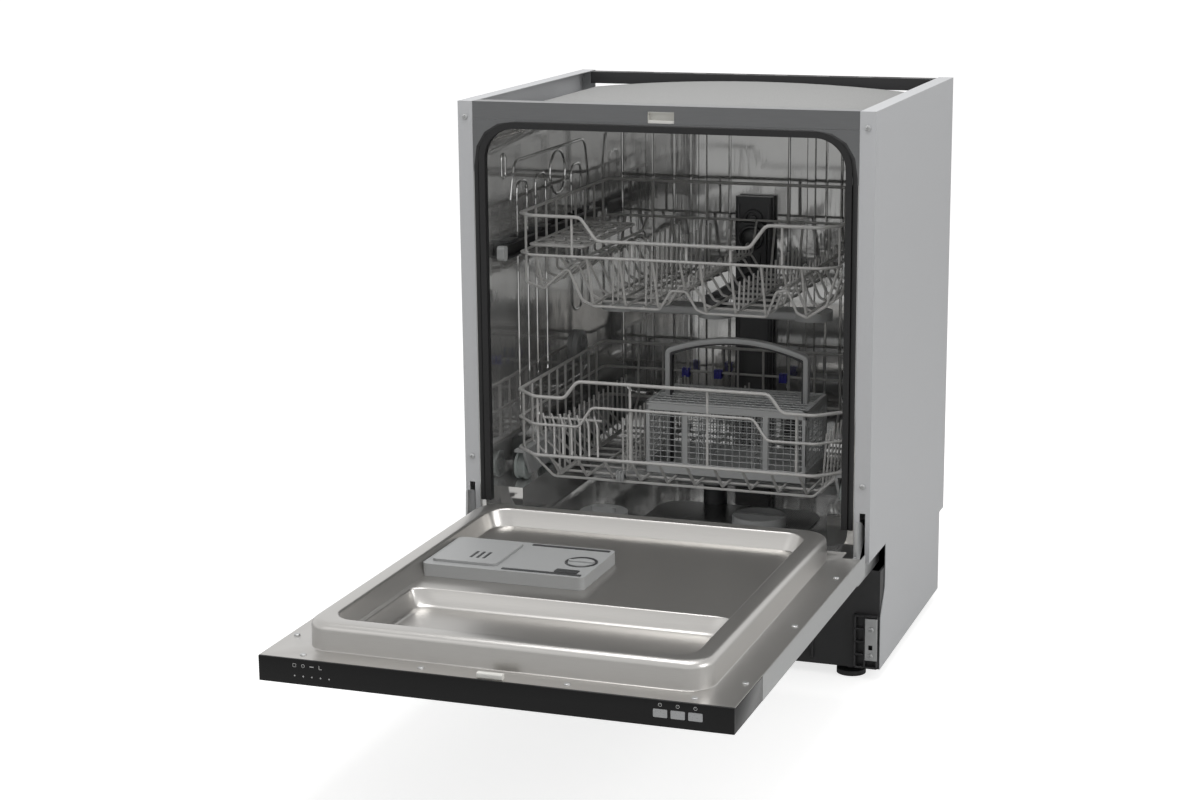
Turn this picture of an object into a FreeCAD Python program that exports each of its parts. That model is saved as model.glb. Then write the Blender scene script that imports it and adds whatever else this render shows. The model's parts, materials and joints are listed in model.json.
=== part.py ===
"""Built-in dishwasher, 60 cm wide: cabinet, folding door, two wire racks, cutlery basket and spray arms.

Millimetres, +Z up. The origin is on the floor, midway between the tip of the open door and the back.
The door lies open and both racks stand pushed home in the tub.
"""
import FreeCAD, Part
import math
import os

import Sketcher

V = FreeCAD.Vector
# Two places closer than this are one place.
SAME_PLACE = 1e-4

# Driving dimensions, in millimetres unless the name says otherwise.
DIMENSIONS = {
    # Cabinet
    "cabinet_width": 598.0,
    "cabinet_height": 815.0,
    "cabinet_depth": 515.0,
    "panel_sheet": 1.0,
    "panel_flange": 22.0,
    "panel_lift": 15.0,
    "toe_height": 195.0,
    "toe_depth": 78.0,
    "toe_upper_depth": 104.0,
    "toe_step_height": 130.0,
    "toe_lower_height": 92.0,
    "rear_notch_height": 140.0,
    "rear_notch_depth": 30.0,
    "hinge_slot_width": 8.0,
    "hinge_slot_height": 70.0,
    # Clearances and the length by which a cutting tool passes the face that it cuts
    "seat_gap": 0.3,
    "slide_gap": 0.6,
    "pin_gap": 0.05,
    "door_gap": 3.0,
    "overrun": 6.0,
    # Cross rails over the tub
    "rail_height": 25.0,
    "rail_depth": 24.0,
    "rear_rail_height": 18.0,
    "rear_rail_depth": 22.0,
    "rear_slot_length": 46.0,
    "rear_slot_width": 8.0,
    "rear_slot_pitch": 66.0,
    "catch_width": 48.0,
    "catch_height": 18.0,
    "catch_depth": 16.0,
    # Tub
    "tub_side_gap": 31.0,
    "tub_back_gap": 31.0,
    "tub_floor": 188.0,
    "tub_headroom": 28.0,
    "tub_corner": 52.0,
    "tub_sheet": 1.0,
    "ledge_width": 40.0,
    "ledge_setback": 44.0,
    "rib_width": 14.0,
    "rib_depth": 4.0,
    "rib_pitch": 88.0,
    "gasket_width": 9.0,
    "gasket_depth": 11.0,
    "felt_crown": 13.0,
    "felt_thickness": 4.0,
    "felt_inset": 7.0,
    # Base
    "base_wall": 3.0,
    "base_height": 145.0,
    "foot_radius": 21.0,
    "foot_pad": 7.0,
    "foot_stem_radius": 5.0,
    "foot_stem_length": 62.0,
    "foot_inset_side": 45.0,
    "foot_inset_front": 22.0,
    "foot_inset_rear": 52.0,
    "boss_radius": 13.0,
    "boss_height": 30.0,
    # Water parts under the tub floor
    "sump_radius": 60.0,
    "sump_depth": 70.0,
    "sump_flange": 16.0,
    "sump_wall": 3.0,
    "sump_x": 96.0,
    "sump_y": 165.0,
    "filter_radius": 40.0,
    "filter_wall": 2.0,
    "filter_height": 84.0,
    "filter_grip_height": 12.0,
    "filter_grip_width": 9.0,
    "strainer_width": 250.0,
    "strainer_depth": 180.0,
    "strainer_sheet": 1.5,
    "hub_radius": 18.0,
    "hub_y": 262.0,
    "hub_height": 34.0,
    "hub_stub_radius": 8.0,
    "hub_stub_height": 12.0,
    "salt_x": 130.0,
    "salt_y": 120.0,
    "salt_radius": 36.0,
    "salt_height": 14.0,
    "salt_grip_width": 10.0,
    "pump_radius": 46.0,
    "pump_length": 150.0,
    "pump_back_gap": 170.0,
    "pump_nozzle_radius": 17.0,
    "drain_radius": 28.0,
    "drain_length": 70.0,
    "softener_gap": 11.4,
    "softener_depth": 210.0,
    "softener_height": 110.0,
    "valve_inset": 84.0,
    "valve_height": 74.0,
    "valve_flange_radius": 22.0,
    "valve_flange": 6.0,
    "valve_thread_radius": 13.2,
    "valve_thread_length": 19.0,
    "outlet_x": 150.0,
    "outlet_radius": 10.5,
    "gland_x": 190.0,
    "gland_radius": 9.0,
    "gland_bore_radius": 4.5,
    # Spray arms
    "lower_arm_reach": 200.0,
    "upper_arm_reach": 178.0,
    "arm_width": 46.0,
    "arm_tip_radius": 30.0,
    "arm_thickness": 13.0,
    "arm_boss_radius": 26.0,
    "jet_radius": 2.4,
    # Feed duct on the tub's back wall
    "duct_width": 60.0,
    "duct_thickness": 14.0,
    "duct_top_lift": 112.0,
    "duct_port_radius": 15.0,
    "duct_port_lift": 57.0,
    "vent_radius": 26.0,
    "vent_thickness": 6.0,
    "vent_back_gap": 92.0,
    "vent_height": 390.0,
    "vent_spoke_width": 4.0,
    # Door
    "door_side_gap": 1.0,
    "door_head_gap": 7.0,
    "door_thickness": 32.0,
    "door_plane": 214.0,
    "door_heel": 20.0,
    "hinge_ahead": 32.0,
    "hinge_height": 185.0,
    "skin_sheet": 1.0,
    "liner_sheet": 1.0,
    "pan_side_gap": 12.0,
    "pan_height": 35.0,
    "pan_front_margin": 36.0,
    "pan_rear_margin": 40.0,
    "pan_corner": 30.0,
    "pan_rim": 27.0,
    "pan_edge_round": 7.0,
    "basin_depth": 46.0,
    "basin_length": 172.0,
    "basin_corner": 18.0,
    "shelf_depth": 24.0,
    "seal_thickness": 3.2,
    "seal_height": 20.0,
    "strip_length": 117.0,
    "strip_wall": 2.5,
    "board_width": 320.0,
    "board_height": 16.0,
    "board_length": 70.0,
    "board_inset": 22.0,
    "button_width": 17.0,
    "button_height": 10.0,
    "button_pitch": 21.0,
    "button_inset": 46.0,
    "button_depth": 12.0,
    "button_travel": 2.0,
    "latch_width": 32.0,
    "latch_length": 8.0,
    "latch_height": 7.0,
    "latch_back": 8.0,
    "dispenser_width": 226.0,
    "dispenser_length": 132.0,
    "dispenser_height": 17.0,
    "dispenser_margin": 3.0,
    "dispenser_y": 263.0,
    "dispenser_corner": 8.0,
    "lid_width": 92.0,
    "lid_length": 104.0,
    "lid_thickness": 3.2,
    "rinse_radius": 18.0,
    "rinse_height": 4.0,
    # Hinges
    "hinge_plate": 3.0,
    "hinge_pin_radius": 4.0,
    "hinge_nose": 7.0,
    "bracket_inset": 18.0,
    "bracket_reach": 130.0,
    "horn_radius": 74.0,
    "horn_start_angle": 4.0,
    "horn_end_angle": 50.0,
    "arm_length": 120.0,
    "notch_inset": 27.0,
    "notch_length": 28.0,
    # Wire racks
    "wire": 4.0,
    "rim_wire": 5.0,
    "rack_setback": 44.0,
    "rack_back_gap": 28.0,
    "rack_side_gap": 22.0,
    "rack_corner": 34.0,
    "rack_bend": 44.0,
    "rack_floor_lift": 10.0,
    "rack_rim_lift": 138.0,
    "rack_handle_rise": 26.0,
    "rack_handle_inset": 106.0,
    "rack_belt_lift": 52.0,
    "rack_mid_lift": 96.0,
    "rack_floor_inset": 50.0,
    "tine_height": 84.0,
    "tine_wire": 3.2,
    "tine_pitch": 30.0,
    "right_row_inset": 39.0,
    "rear_row_x": 12.0,
    "fold_row_x": 92.0,
    "outer_row_inset": 56.0,
    "clip_width": 12.0,
    "clip_height": 15.0,
    "wheel_radius": 20.0,
    "wheel_width": 17.0,
    "wheel_web": 6.0,
    "wheel_bore_radius": 5.0,
    "wheel_spacing": 98.0,
    "wheel_first": 51.0,
    "wheel_last": 24.0,
    "wheel_side_gap": 13.5,
    "carrier_plate": 4.0,
    "carrier_margin": 26.0,
    # Upper rack
    "upper_rim_lift": 134.0,
    "upper_belt_lift": 78.0,
    "upper_side_gap": 33.0,
    "upper_floor_inset": 47.0,
    "upper_dip": 33.0,
    "upper_dip_inset": 145.0,
    "upper_tine_height": 58.0,
    "runner_height": 19.0,
    "runner_thickness": 9.0,
    "runner_back_gap": 26.0,
    "runner_setback": 36.0,
    "runner_cap": 14.0,
    "runner_cap_lip": 1.0,
    "runner_wall": 1.5,
    "runner_side_gap": 19.0,
    "hanger_radius": 4.0,
    "hanger_wheel_width": 5.0,
    "roller_block_length": 36.0,
    "roller_block_lip": 4.0,
    "pipe_radius": 9.0,
    "dock_width": 46.0,
    "dock_height": 96.0,
    "dock_skirt": 3.0,
    "elbow_skirt": 2.0,
    "dock_depth": 12.0,
    "shelf_width": 84.0,
    "shelf_length": 230.0,
    "shelf_lift": 86.0,
    # Cutlery basket
    "cutlery_left": 67.0,
    "cutlery_inset": 71.0,
    "cutlery_depth": 124.0,
    "cutlery_height": 104.0,
    "cutlery_y": 190.0,
    "cutlery_wall": 2.4,
    "cutlery_bar": 3.0,
    "cutlery_band": 14.0,
    "cutlery_corner": 7.0,
    "lid_sheet": 3.0,
    "lid_bar": 4.0,
    "handle_height": 88.0,
    "handle_width": 14.0,
    "handle_thickness": 7.0,
    "handle_crown": 20.0,
    "handle_inset": 16.0,
    # Fixing holes for a furniture front
    "fixing_hole_radius": 2.25,
    "fixing_span_x": 460.0,
    "fixing_span_y": 360.0,
}


class Size:
    """A size from the sheet, or a sum of such sizes: its expression and its present value."""

    def __init__(self, text, value):
        self.text = text
        self.value = value

    @staticmethod
    def of(item):
        return item if isinstance(item, Size) else Size(repr(item), float(item))

    def join(self, sign, other, value):
        return Size(f"({self.text} {sign} {other.text})", value)

    def __add__(self, other):
        other = Size.of(other)
        return self.join("+", other, self.value + other.value)

    def __sub__(self, other):
        other = Size.of(other)
        return self.join("-", other, self.value - other.value)

    def __mul__(self, other):
        other = Size.of(other)
        return self.join("*", other, self.value * other.value)

    def __truediv__(self, other):
        other = Size.of(other)
        return self.join("/", other, self.value / other.value)

    def __radd__(self, other):
        return Size.of(other) + self

    def __rsub__(self, other):
        return Size.of(other) - self

    def __rmul__(self, other):
        return Size.of(other) * self

    def __neg__(self):
        return Size(f"(0 - {self.text})", -self.value)

    def __float__(self):
        return self.value


class Sheet:
    """The driving dimensions by name."""

    def __getattr__(self, name):
        return Size(f"Sizes.{name}", DIMENSIONS[name])


S = Sheet()
doc = FreeCAD.newDocument("dishwasher")
PIECES = {}


def write_sheet():
    sheet = doc.addObject("Spreadsheet::Sheet", "Sizes")
    for row, (name, value) in enumerate(DIMENSIONS.items(), start=1):
        sheet.set(f"A{row}", name)
        sheet.set(f"B{row}", str(value))
        sheet.setAlias(f"B{row}", name)
    doc.recompute()


def bind(item, **properties):
    """Tie each property, with __ for a dot, to its size."""
    for name, size in properties.items():
        path = name.replace("__", ".")
        item.setExpression(path, Size.of(size).text)


def keep(label, item):
    """Name a finished piece."""
    item.Label = label
    PIECES[label] = item
    return item


def fresh(name):
    """A name that no object of the document has yet."""
    number = 1
    while doc.getObject(f"{name}_{number}") is not None:
        number += 1
    return f"{name}_{number}"


def box(low, high, name="box"):
    item = doc.addObject("Part::Box", fresh(name))
    bind(item, Length=high[0] - low[0], Width=high[1] - low[1], Height=high[2] - low[2])
    bind(item, Placement__Base__x=low[0], Placement__Base__y=low[1], Placement__Base__z=low[2])
    return item


TURNS = {
    "x": FreeCAD.Rotation(V(0, 1, 0), 90),
    "y": FreeCAD.Rotation(V(1, 0, 0), -90),
    "z": FreeCAD.Rotation(),
}


def rod(start, axis, radius, length, name="rod"):
    """A cylinder from start along an axis."""
    item = doc.addObject("Part::Cylinder", fresh(name))
    item.Placement = FreeCAD.Placement(V(), TURNS[axis])
    bind(item, Radius=radius, Height=length)
    bind(item, Placement__Base__x=start[0], Placement__Base__y=start[1], Placement__Base__z=start[2])
    return item


def fuse(items, name="fused"):
    item = doc.addObject("Part::MultiFuse", fresh(name))
    item.Shapes = items
    item.Refine = True
    return item


def cut(base, tools, name="cut"):
    item = doc.addObject("Part::Cut", fresh(name))
    item.Base = base
    item.Tool = tools[0] if len(tools) == 1 else fuse(tools)
    return item


def common(items, name="common"):
    item = doc.addObject("Part::MultiCommon", fresh(name))
    item.Shapes = items
    return item


def group(items, name="group"):
    """Separate solids of one node."""
    item = doc.addObject("Part::Compound", fresh(name))
    item.Links = items
    return item


def mirror(item, name="mirror"):
    """The same piece on the other side of the middle plane."""
    twin = doc.addObject("Part::Mirroring", fresh(name))
    twin.Source = item
    twin.Normal = V(1, 0, 0)
    return twin


def pair(item):
    return group([item, mirror(item)], "pair")


def block(low, high, radius, axis, name="block"):
    """A box whose edges along an axis are rounded."""
    body = doc.addObject("PartDesign::Body", fresh(name))
    solid = body.newObject("PartDesign::AdditiveBox", fresh(name + "_box"))
    bind(solid, Length=high[0] - low[0], Width=high[1] - low[1], Height=high[2] - low[2])
    bind(solid, Placement__Base__x=low[0], Placement__Base__y=low[1], Placement__Base__z=low[2])
    doc.recompute()
    round_edges(body, radius, lambda edge: along(edge, axis))
    return body


def along(edge, axis):
    """Whether a straight edge runs along an axis."""
    if len(edge.Vertexes) != 2:
        return False
    run = edge.Vertexes[1].Point - edge.Vertexes[0].Point
    across = [abs(v) for v, a in zip(run, "xyz") if a != axis]
    return max(across) < SAME_PLACE


def round_edges(body, radius, wanted):
    """Round the body's edges that a test picks."""
    before = body.Tip
    edges = before.Shape.Edges
    names = [f"Edge{n}" for n, edge in enumerate(edges, start=1) if wanted(edge)]
    fillet = body.newObject("PartDesign::Fillet", fresh("fillet"))
    fillet.Base = (before, names)
    bind(fillet, Radius=radius)
    body.Tip = fillet
    doc.recompute()


PLANES = {"xy": "XY_Plane", "xz": "XZ_Plane", "yz": "YZ_Plane"}


def prism(plane, points, low, high, name="prism"):
    """A straight-sided outline, drawn on a plane, padded from low to high across that plane."""
    body = doc.addObject("PartDesign::Body", fresh(name))
    sketch = body.newObject("Sketcher::SketchObject", fresh(name + "_sketch"))
    support = next(f for f in body.Origin.OriginFeatures if f.Role == PLANES[plane])
    sketch.AttachmentSupport = [(support, "")]
    sketch.MapMode = "FlatFace"
    offset = -high if plane == "xz" else low
    bind(sketch, AttachmentOffset__Base__z=offset)
    corners = [(Size.of(u), Size.of(w)) for u, w in points]
    count = len(corners)
    for n, (u, w) in enumerate(corners):
        after = corners[(n + 1) % count]
        line = Part.LineSegment(V(u.value, w.value, 0), V(after[0].value, after[1].value, 0))
        sketch.addGeometry(line)
    for n in range(count):
        sketch.addConstraint(Sketcher.Constraint("Coincident", n, 2, (n + 1) % count, 1))
    for n, corner in enumerate(corners):
        for kind, size in zip(("DistanceX", "DistanceY"), corner):
            index = sketch.addConstraint(Sketcher.Constraint(kind, -1, 1, n, 1, size.value))
            sketch.renameConstraint(index, f"{kind}_{n}")
            sketch.setExpression(f"Constraints.{kind}_{n}", size.text)
    pad = body.newObject("PartDesign::Pad", fresh(name + "_pad"))
    pad.Profile = sketch
    bind(pad, Length=high - low)
    body.Tip = pad
    doc.recompute()
    return body


def made(shape, name="made"):
    """A piece whose shape is worked out in code."""
    item = doc.addObject("Part::Feature", fresh(name))
    item.Shape = shape
    return item


def vec(x, y, z):
    return V(float(x), float(y), float(z))


def straight(start, end, wire):
    """A straight round wire between two points."""
    run = end - start
    return Part.makeCylinder(float(wire) / 2, run.Length, start, run)


def chain(points, wire):
    """A bent wire: straight runs that lap by half a wire at their corners."""
    runs = []
    lap = float(wire) / 2
    last = len(points) - 2
    for n, (start, end) in enumerate(zip(points, points[1:])):
        ahead = (end - start).normalize()
        runs.append(straight(start - ahead * (lap if n else 0), end + ahead * (lap if n < last else 0), wire))
    return runs


def hoop(points, radius, wire, closed=True):
    """A wire bent with round corners through points, open or as a closed ring."""
    count = len(points)
    corners = range(count) if closed else range(1, count - 1)
    ends = {}
    edges = []
    for n in corners:
        here, before, after = points[n], points[n - 1], points[(n + 1) % count]
        back = (before - here).normalize()
        ahead = (after - here).normalize()
        half_turn = math.acos(max(-1.0, min(1.0, back.dot(ahead)))) / 2
        reach = float(radius) / math.tan(half_turn)
        inner = (back + ahead).normalize()
        middle = here + inner * (float(radius) / math.sin(half_turn) - float(radius))
        ends[n] = (here + back * reach, here + ahead * reach)
        edges.append((n, Part.Arc(ends[n][0], middle, ends[n][1]).toShape()))
    path = []
    for n in range(count if closed else count - 1):
        following = (n + 1) % count
        start = ends[n][1] if n in ends else points[n]
        end = ends[following][0] if following in ends else points[following]
        if n in ends:
            path.append(dict(edges)[n])
        path.append(Part.LineSegment(start, end).toShape())
    spine = Part.Wire(path)
    first = spine.Edges[-1] if closed else spine.Edges[0]
    start = first.Vertexes[0].Point
    tangent = first.tangentAt(first.FirstParameter)
    if closed:
        start = spine.OrderedEdges[0].valueAt(spine.OrderedEdges[0].FirstParameter)
        tangent = spine.OrderedEdges[0].tangentAt(spine.OrderedEdges[0].FirstParameter)
    ring = Part.Wire(Part.Circle(start, tangent, float(wire) / 2).toShape())
    return spine.makePipeShell([ring], True, False)


def spread(count, low, high):
    """Places spread evenly between two limits."""
    low, high = float(low), float(high)
    return [low + (high - low) * n / (count - 1) for n in range(count)]


# Levels and planes that several pieces share
half = S.cabinet_width / 2
door_reach = S.cabinet_height - S.door_head_gap - S.hinge_height + S.hinge_ahead
front = (door_reach - S.cabinet_depth) / 2
back = front + S.cabinet_depth
tip = front - door_reach
heel = front - S.door_heel
hinge_y = front - S.hinge_ahead
tub_half = half - S.tub_side_gap
tub_back = back - S.tub_back_gap
ceiling = S.cabinet_height - S.tub_headroom
skin_low = S.door_plane - S.door_thickness
door_half = half - S.door_side_gap
pan_half = tub_half - S.pan_side_gap
pan_top = S.door_plane + S.pan_height
pan_front = tip + S.pan_front_margin
pan_rear = front - S.pan_rear_margin
flange_inner = half - S.panel_flange
between = flange_inner - S.seat_gap
rack_level = pan_top + S.seat_gap
foot_x = half - S.panel_sheet - S.slide_gap - S.foot_inset_side
bracket_x = half - S.bracket_inset
notch_x = half - S.notch_inset
pump_y = back - S.pump_back_gap


def side_panels():
    """Folded sheet sides with flanges at the front, top and back and a notch for the toe space."""
    edge = half - S.panel_sheet
    outline = [
        (front, S.toe_height),
        (front, S.cabinet_height),
        (back, S.cabinet_height),
        (back, S.rear_notch_height),
        (back - S.rear_notch_depth, S.rear_notch_height),
        (back - S.rear_notch_depth, S.panel_lift),
        (front + S.toe_depth, S.panel_lift),
        (front + S.toe_depth, S.toe_lower_height),
        (front + S.toe_upper_depth, S.toe_step_height),
        (front + S.toe_upper_depth, S.toe_height),
    ]
    plate = prism("yz", outline, edge, half, "side_plate")
    face = box((flange_inner, front, S.toe_height), (edge, front + S.panel_sheet, S.cabinet_height))
    top = box((flange_inner, front, S.cabinet_height - S.panel_sheet), (edge, back, S.cabinet_height))
    rear = box((flange_inner, back - S.panel_sheet, S.rear_notch_height), (edge, back, S.cabinet_height))
    slot_middle = bracket_x + S.hinge_plate * 2 + S.hinge_plate / 2
    slot = box(
        (slot_middle - S.hinge_slot_width / 2, front - S.overrun, S.toe_height - S.overrun),
        (
            slot_middle + S.hinge_slot_width / 2,
            front + S.overrun,
            S.toe_height + S.hinge_slot_height,
        ),
    )
    right = cut(fuse([plate, face, top, rear]), [slot])
    keep("right_side_panel", right)
    keep("left_side_panel", mirror(right))


def cross_rails():
    """The bright rail over the tub's mouth and the slotted dark rail at the back."""
    low = S.cabinet_height - S.rail_height
    face = box((-between, front, low), (between, front + S.panel_sheet, S.cabinet_height))
    top = box(
        (-between, front, S.cabinet_height - S.panel_sheet),
        (between, front + S.rail_depth, S.cabinet_height),
    )
    lip = box(
        (-between, front + S.rail_depth - S.panel_sheet, S.cabinet_height - S.rail_height / 2),
        (between, front + S.rail_depth, S.cabinet_height),
    )
    middle = S.hinge_height + hinge_y - tip - S.latch_back
    room = S.latch_width / 2 + S.door_gap
    slot = box(
        (-room, front - S.overrun, middle - S.catch_height / 2),
        (room, front + S.overrun, middle + S.catch_height / 2 - S.panel_sheet * 2),
    )
    keep("front_top_rail", cut(fuse([face, top, lip]), [slot]))

    rear_high = S.cabinet_height - S.panel_sheet - S.seat_gap
    rear_low = rear_high - S.rear_rail_height
    rear_front = back - S.panel_sheet - S.rear_rail_depth
    rear_back = back - S.panel_sheet - S.seat_gap
    channel = box((-between, rear_front, rear_low), (between, rear_back, rear_high))
    hollow = box(
        (-between - S.overrun, rear_front + S.panel_sheet, rear_low - S.overrun),
        (between + S.overrun, rear_back - S.panel_sheet, rear_high - S.panel_sheet),
    )
    slots = []
    for place in range(-3, 4):
        middle_x = S.rear_slot_pitch * place
        slots.append(
            box(
                (
                    middle_x - S.rear_slot_length / 2,
                    rear_front + S.rear_rail_depth / 2 - S.rear_slot_width / 2,
                    rear_high - S.overrun,
                ),
                (
                    middle_x + S.rear_slot_length / 2,
                    rear_front + S.rear_rail_depth / 2 + S.rear_slot_width / 2,
                    rear_high + S.overrun,
                ),
            )
        )
    keep("rear_cross_rail", cut(channel, [hollow] + slots))

    catch_front = front + S.panel_sheet + S.seat_gap
    body = box(
        (-S.catch_width / 2, catch_front, middle - S.catch_height / 2),
        (S.catch_width / 2, catch_front + S.catch_depth, middle + S.catch_height / 2 - S.panel_sheet * 2),
    )
    cavity = box(
        (-room, catch_front - S.overrun, middle - S.latch_length / 2 - S.panel_sheet),
        (room, catch_front + S.latch_height, middle + S.latch_length / 2 + S.panel_sheet),
    )
    keep("latch_catch", cut(body, [cavity]))


def tub():
    """The drawn steel tub: rounded walls, a front flange, wheel ledges, back ribs and the sump's hole."""
    wall = S.tub_sheet
    outer = block(
        (-tub_half - wall, front, S.tub_floor - wall),
        (tub_half + wall, tub_back + wall, ceiling + wall),
        S.tub_corner + wall,
        "y",
        "tub_outer",
    )
    flange = box(
        (-between, front, S.tub_floor - S.overrun),
        (between, front + wall, S.cabinet_height - S.rail_height - S.seat_gap),
    )
    inner = block(
        (-tub_half, front - S.overrun, S.tub_floor),
        (tub_half, tub_back, ceiling),
        S.tub_corner,
        "y",
        "tub_inner",
    )
    hole = rod(
        (S.sump_x, front + S.sump_y, S.tub_floor - S.overrun),
        "z",
        S.sump_radius - S.sump_wall,
        S.overrun * 2,
    )
    shell = cut(fuse([outer, flange]), [inner, hole])
    ledge_front = front + S.ledge_setback
    ledge_inner = tub_half - S.ledge_width
    skin = box((ledge_inner, ledge_front, S.tub_floor - wall), (tub_half, tub_back, pan_top))
    under = box(
        (ledge_inner + wall, ledge_front + wall, S.tub_floor - S.overrun),
        (tub_half + S.overrun, tub_back + S.overrun, pan_top - wall),
    )
    ledge = cut(skin, [under])
    additions = [shell, ledge, mirror(ledge)]
    rib_low = S.tub_floor + S.tub_corner
    for place in (-2, -1, 1, 2):
        additions.append(
            block(
                (
                    S.rib_pitch * place - S.rib_width / 2,
                    tub_back - S.rib_depth,
                    rib_low,
                ),
                (
                    S.rib_pitch * place + S.rib_width / 2,
                    tub_back + wall,
                    ceiling - S.tub_corner,
                ),
                S.rib_depth / 2,
                "z",
                "rib",
            )
        )
    keep("tub", fuse(additions))

    gap = S.seat_gap
    low = S.tub_floor + S.tub_corner
    ring = block(
        (-tub_half + gap, front - S.door_gap + S.slide_gap, S.tub_floor + gap),
        (tub_half - gap, front - S.door_gap + S.slide_gap + S.gasket_depth, ceiling - gap),
        S.tub_corner - gap,
        "y",
        "gasket_outer",
    )
    opening = block(
        (-tub_half + S.gasket_width, front - S.overrun, S.tub_floor - S.tub_corner * 2),
        (
            tub_half - S.gasket_width,
            front + S.gasket_depth + S.overrun,
            ceiling - S.gasket_width,
        ),
        S.tub_corner - S.gasket_width,
        "y",
        "gasket_inner",
    )
    foot = box(
        (-half, front - S.overrun, S.tub_floor - S.overrun),
        (half, front + S.gasket_depth + S.overrun, low),
    )
    keep("door_gasket", cut(ring, [opening, foot]))

    felt_half = tub_half - S.felt_inset
    felt_low = ceiling + wall + gap
    crown = felt_low + S.felt_thickness + S.felt_crown
    arch_radius = (felt_half * felt_half + S.felt_crown * S.felt_crown) / (S.felt_crown * 2)
    slab = box(
        (-felt_half, front + S.rail_depth + S.felt_inset, felt_low),
        (felt_half, tub_back - S.felt_inset, crown),
    )
    arch = rod(
        (0, front, crown - arch_radius),
        "y",
        arch_radius,
        S.cabinet_depth,
    )
    keep("top_felt", common([slab, arch]))
    rear_felt = block(
        (-felt_half, tub_back + wall + gap, S.tub_floor + S.felt_inset),
        (felt_half, tub_back + wall + gap + S.felt_thickness, ceiling - S.felt_inset),
        S.tub_corner,
        "y",
        "rear_felt_sheet",
    )
    keep("rear_felt", rear_felt)


def base():
    """The moulded base tray with its foot bosses, and the four levelling feet."""
    side = half - S.panel_sheet - S.slide_gap
    low = S.panel_lift
    high = low + S.base_height
    face = front + S.toe_depth + S.panel_sheet
    rear = back - S.rear_notch_depth - S.panel_sheet
    wall = S.base_wall
    outer = box((-side, face, low), (side, rear, high))
    inner = box((-side + wall, face + wall, low + wall), (side - wall, rear - wall, high + S.overrun))
    y_front = face + S.foot_inset_front
    y_rear = rear - S.foot_inset_rear
    bosses = []
    bores = []
    feet = {
        "front_left_foot": (-foot_x, y_front),
        "front_right_foot": (foot_x, y_front),
        "rear_left_foot": (-foot_x, y_rear),
        "rear_right_foot": (foot_x, y_rear),
    }
    for place in feet.values():
        bosses.append(rod((*place, low), "z", S.boss_radius, S.boss_height))
        bores.append(
            rod(
                (*place, low - S.overrun),
                "z",
                S.foot_stem_radius + S.seat_gap,
                S.boss_height + S.overrun * 2,
            )
        )
    tray = fuse([cut(outer, [inner])] + bosses)
    keep("base_tray", cut(tray, bores))
    for name, place in feet.items():
        pad = rod((*place, Size.of(0)), "z", S.foot_radius, S.foot_pad)
        stem = rod((*place, Size.of(0)), "z", S.foot_stem_radius, S.foot_stem_length)
        keep(name, fuse([pad, stem]))


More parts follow.
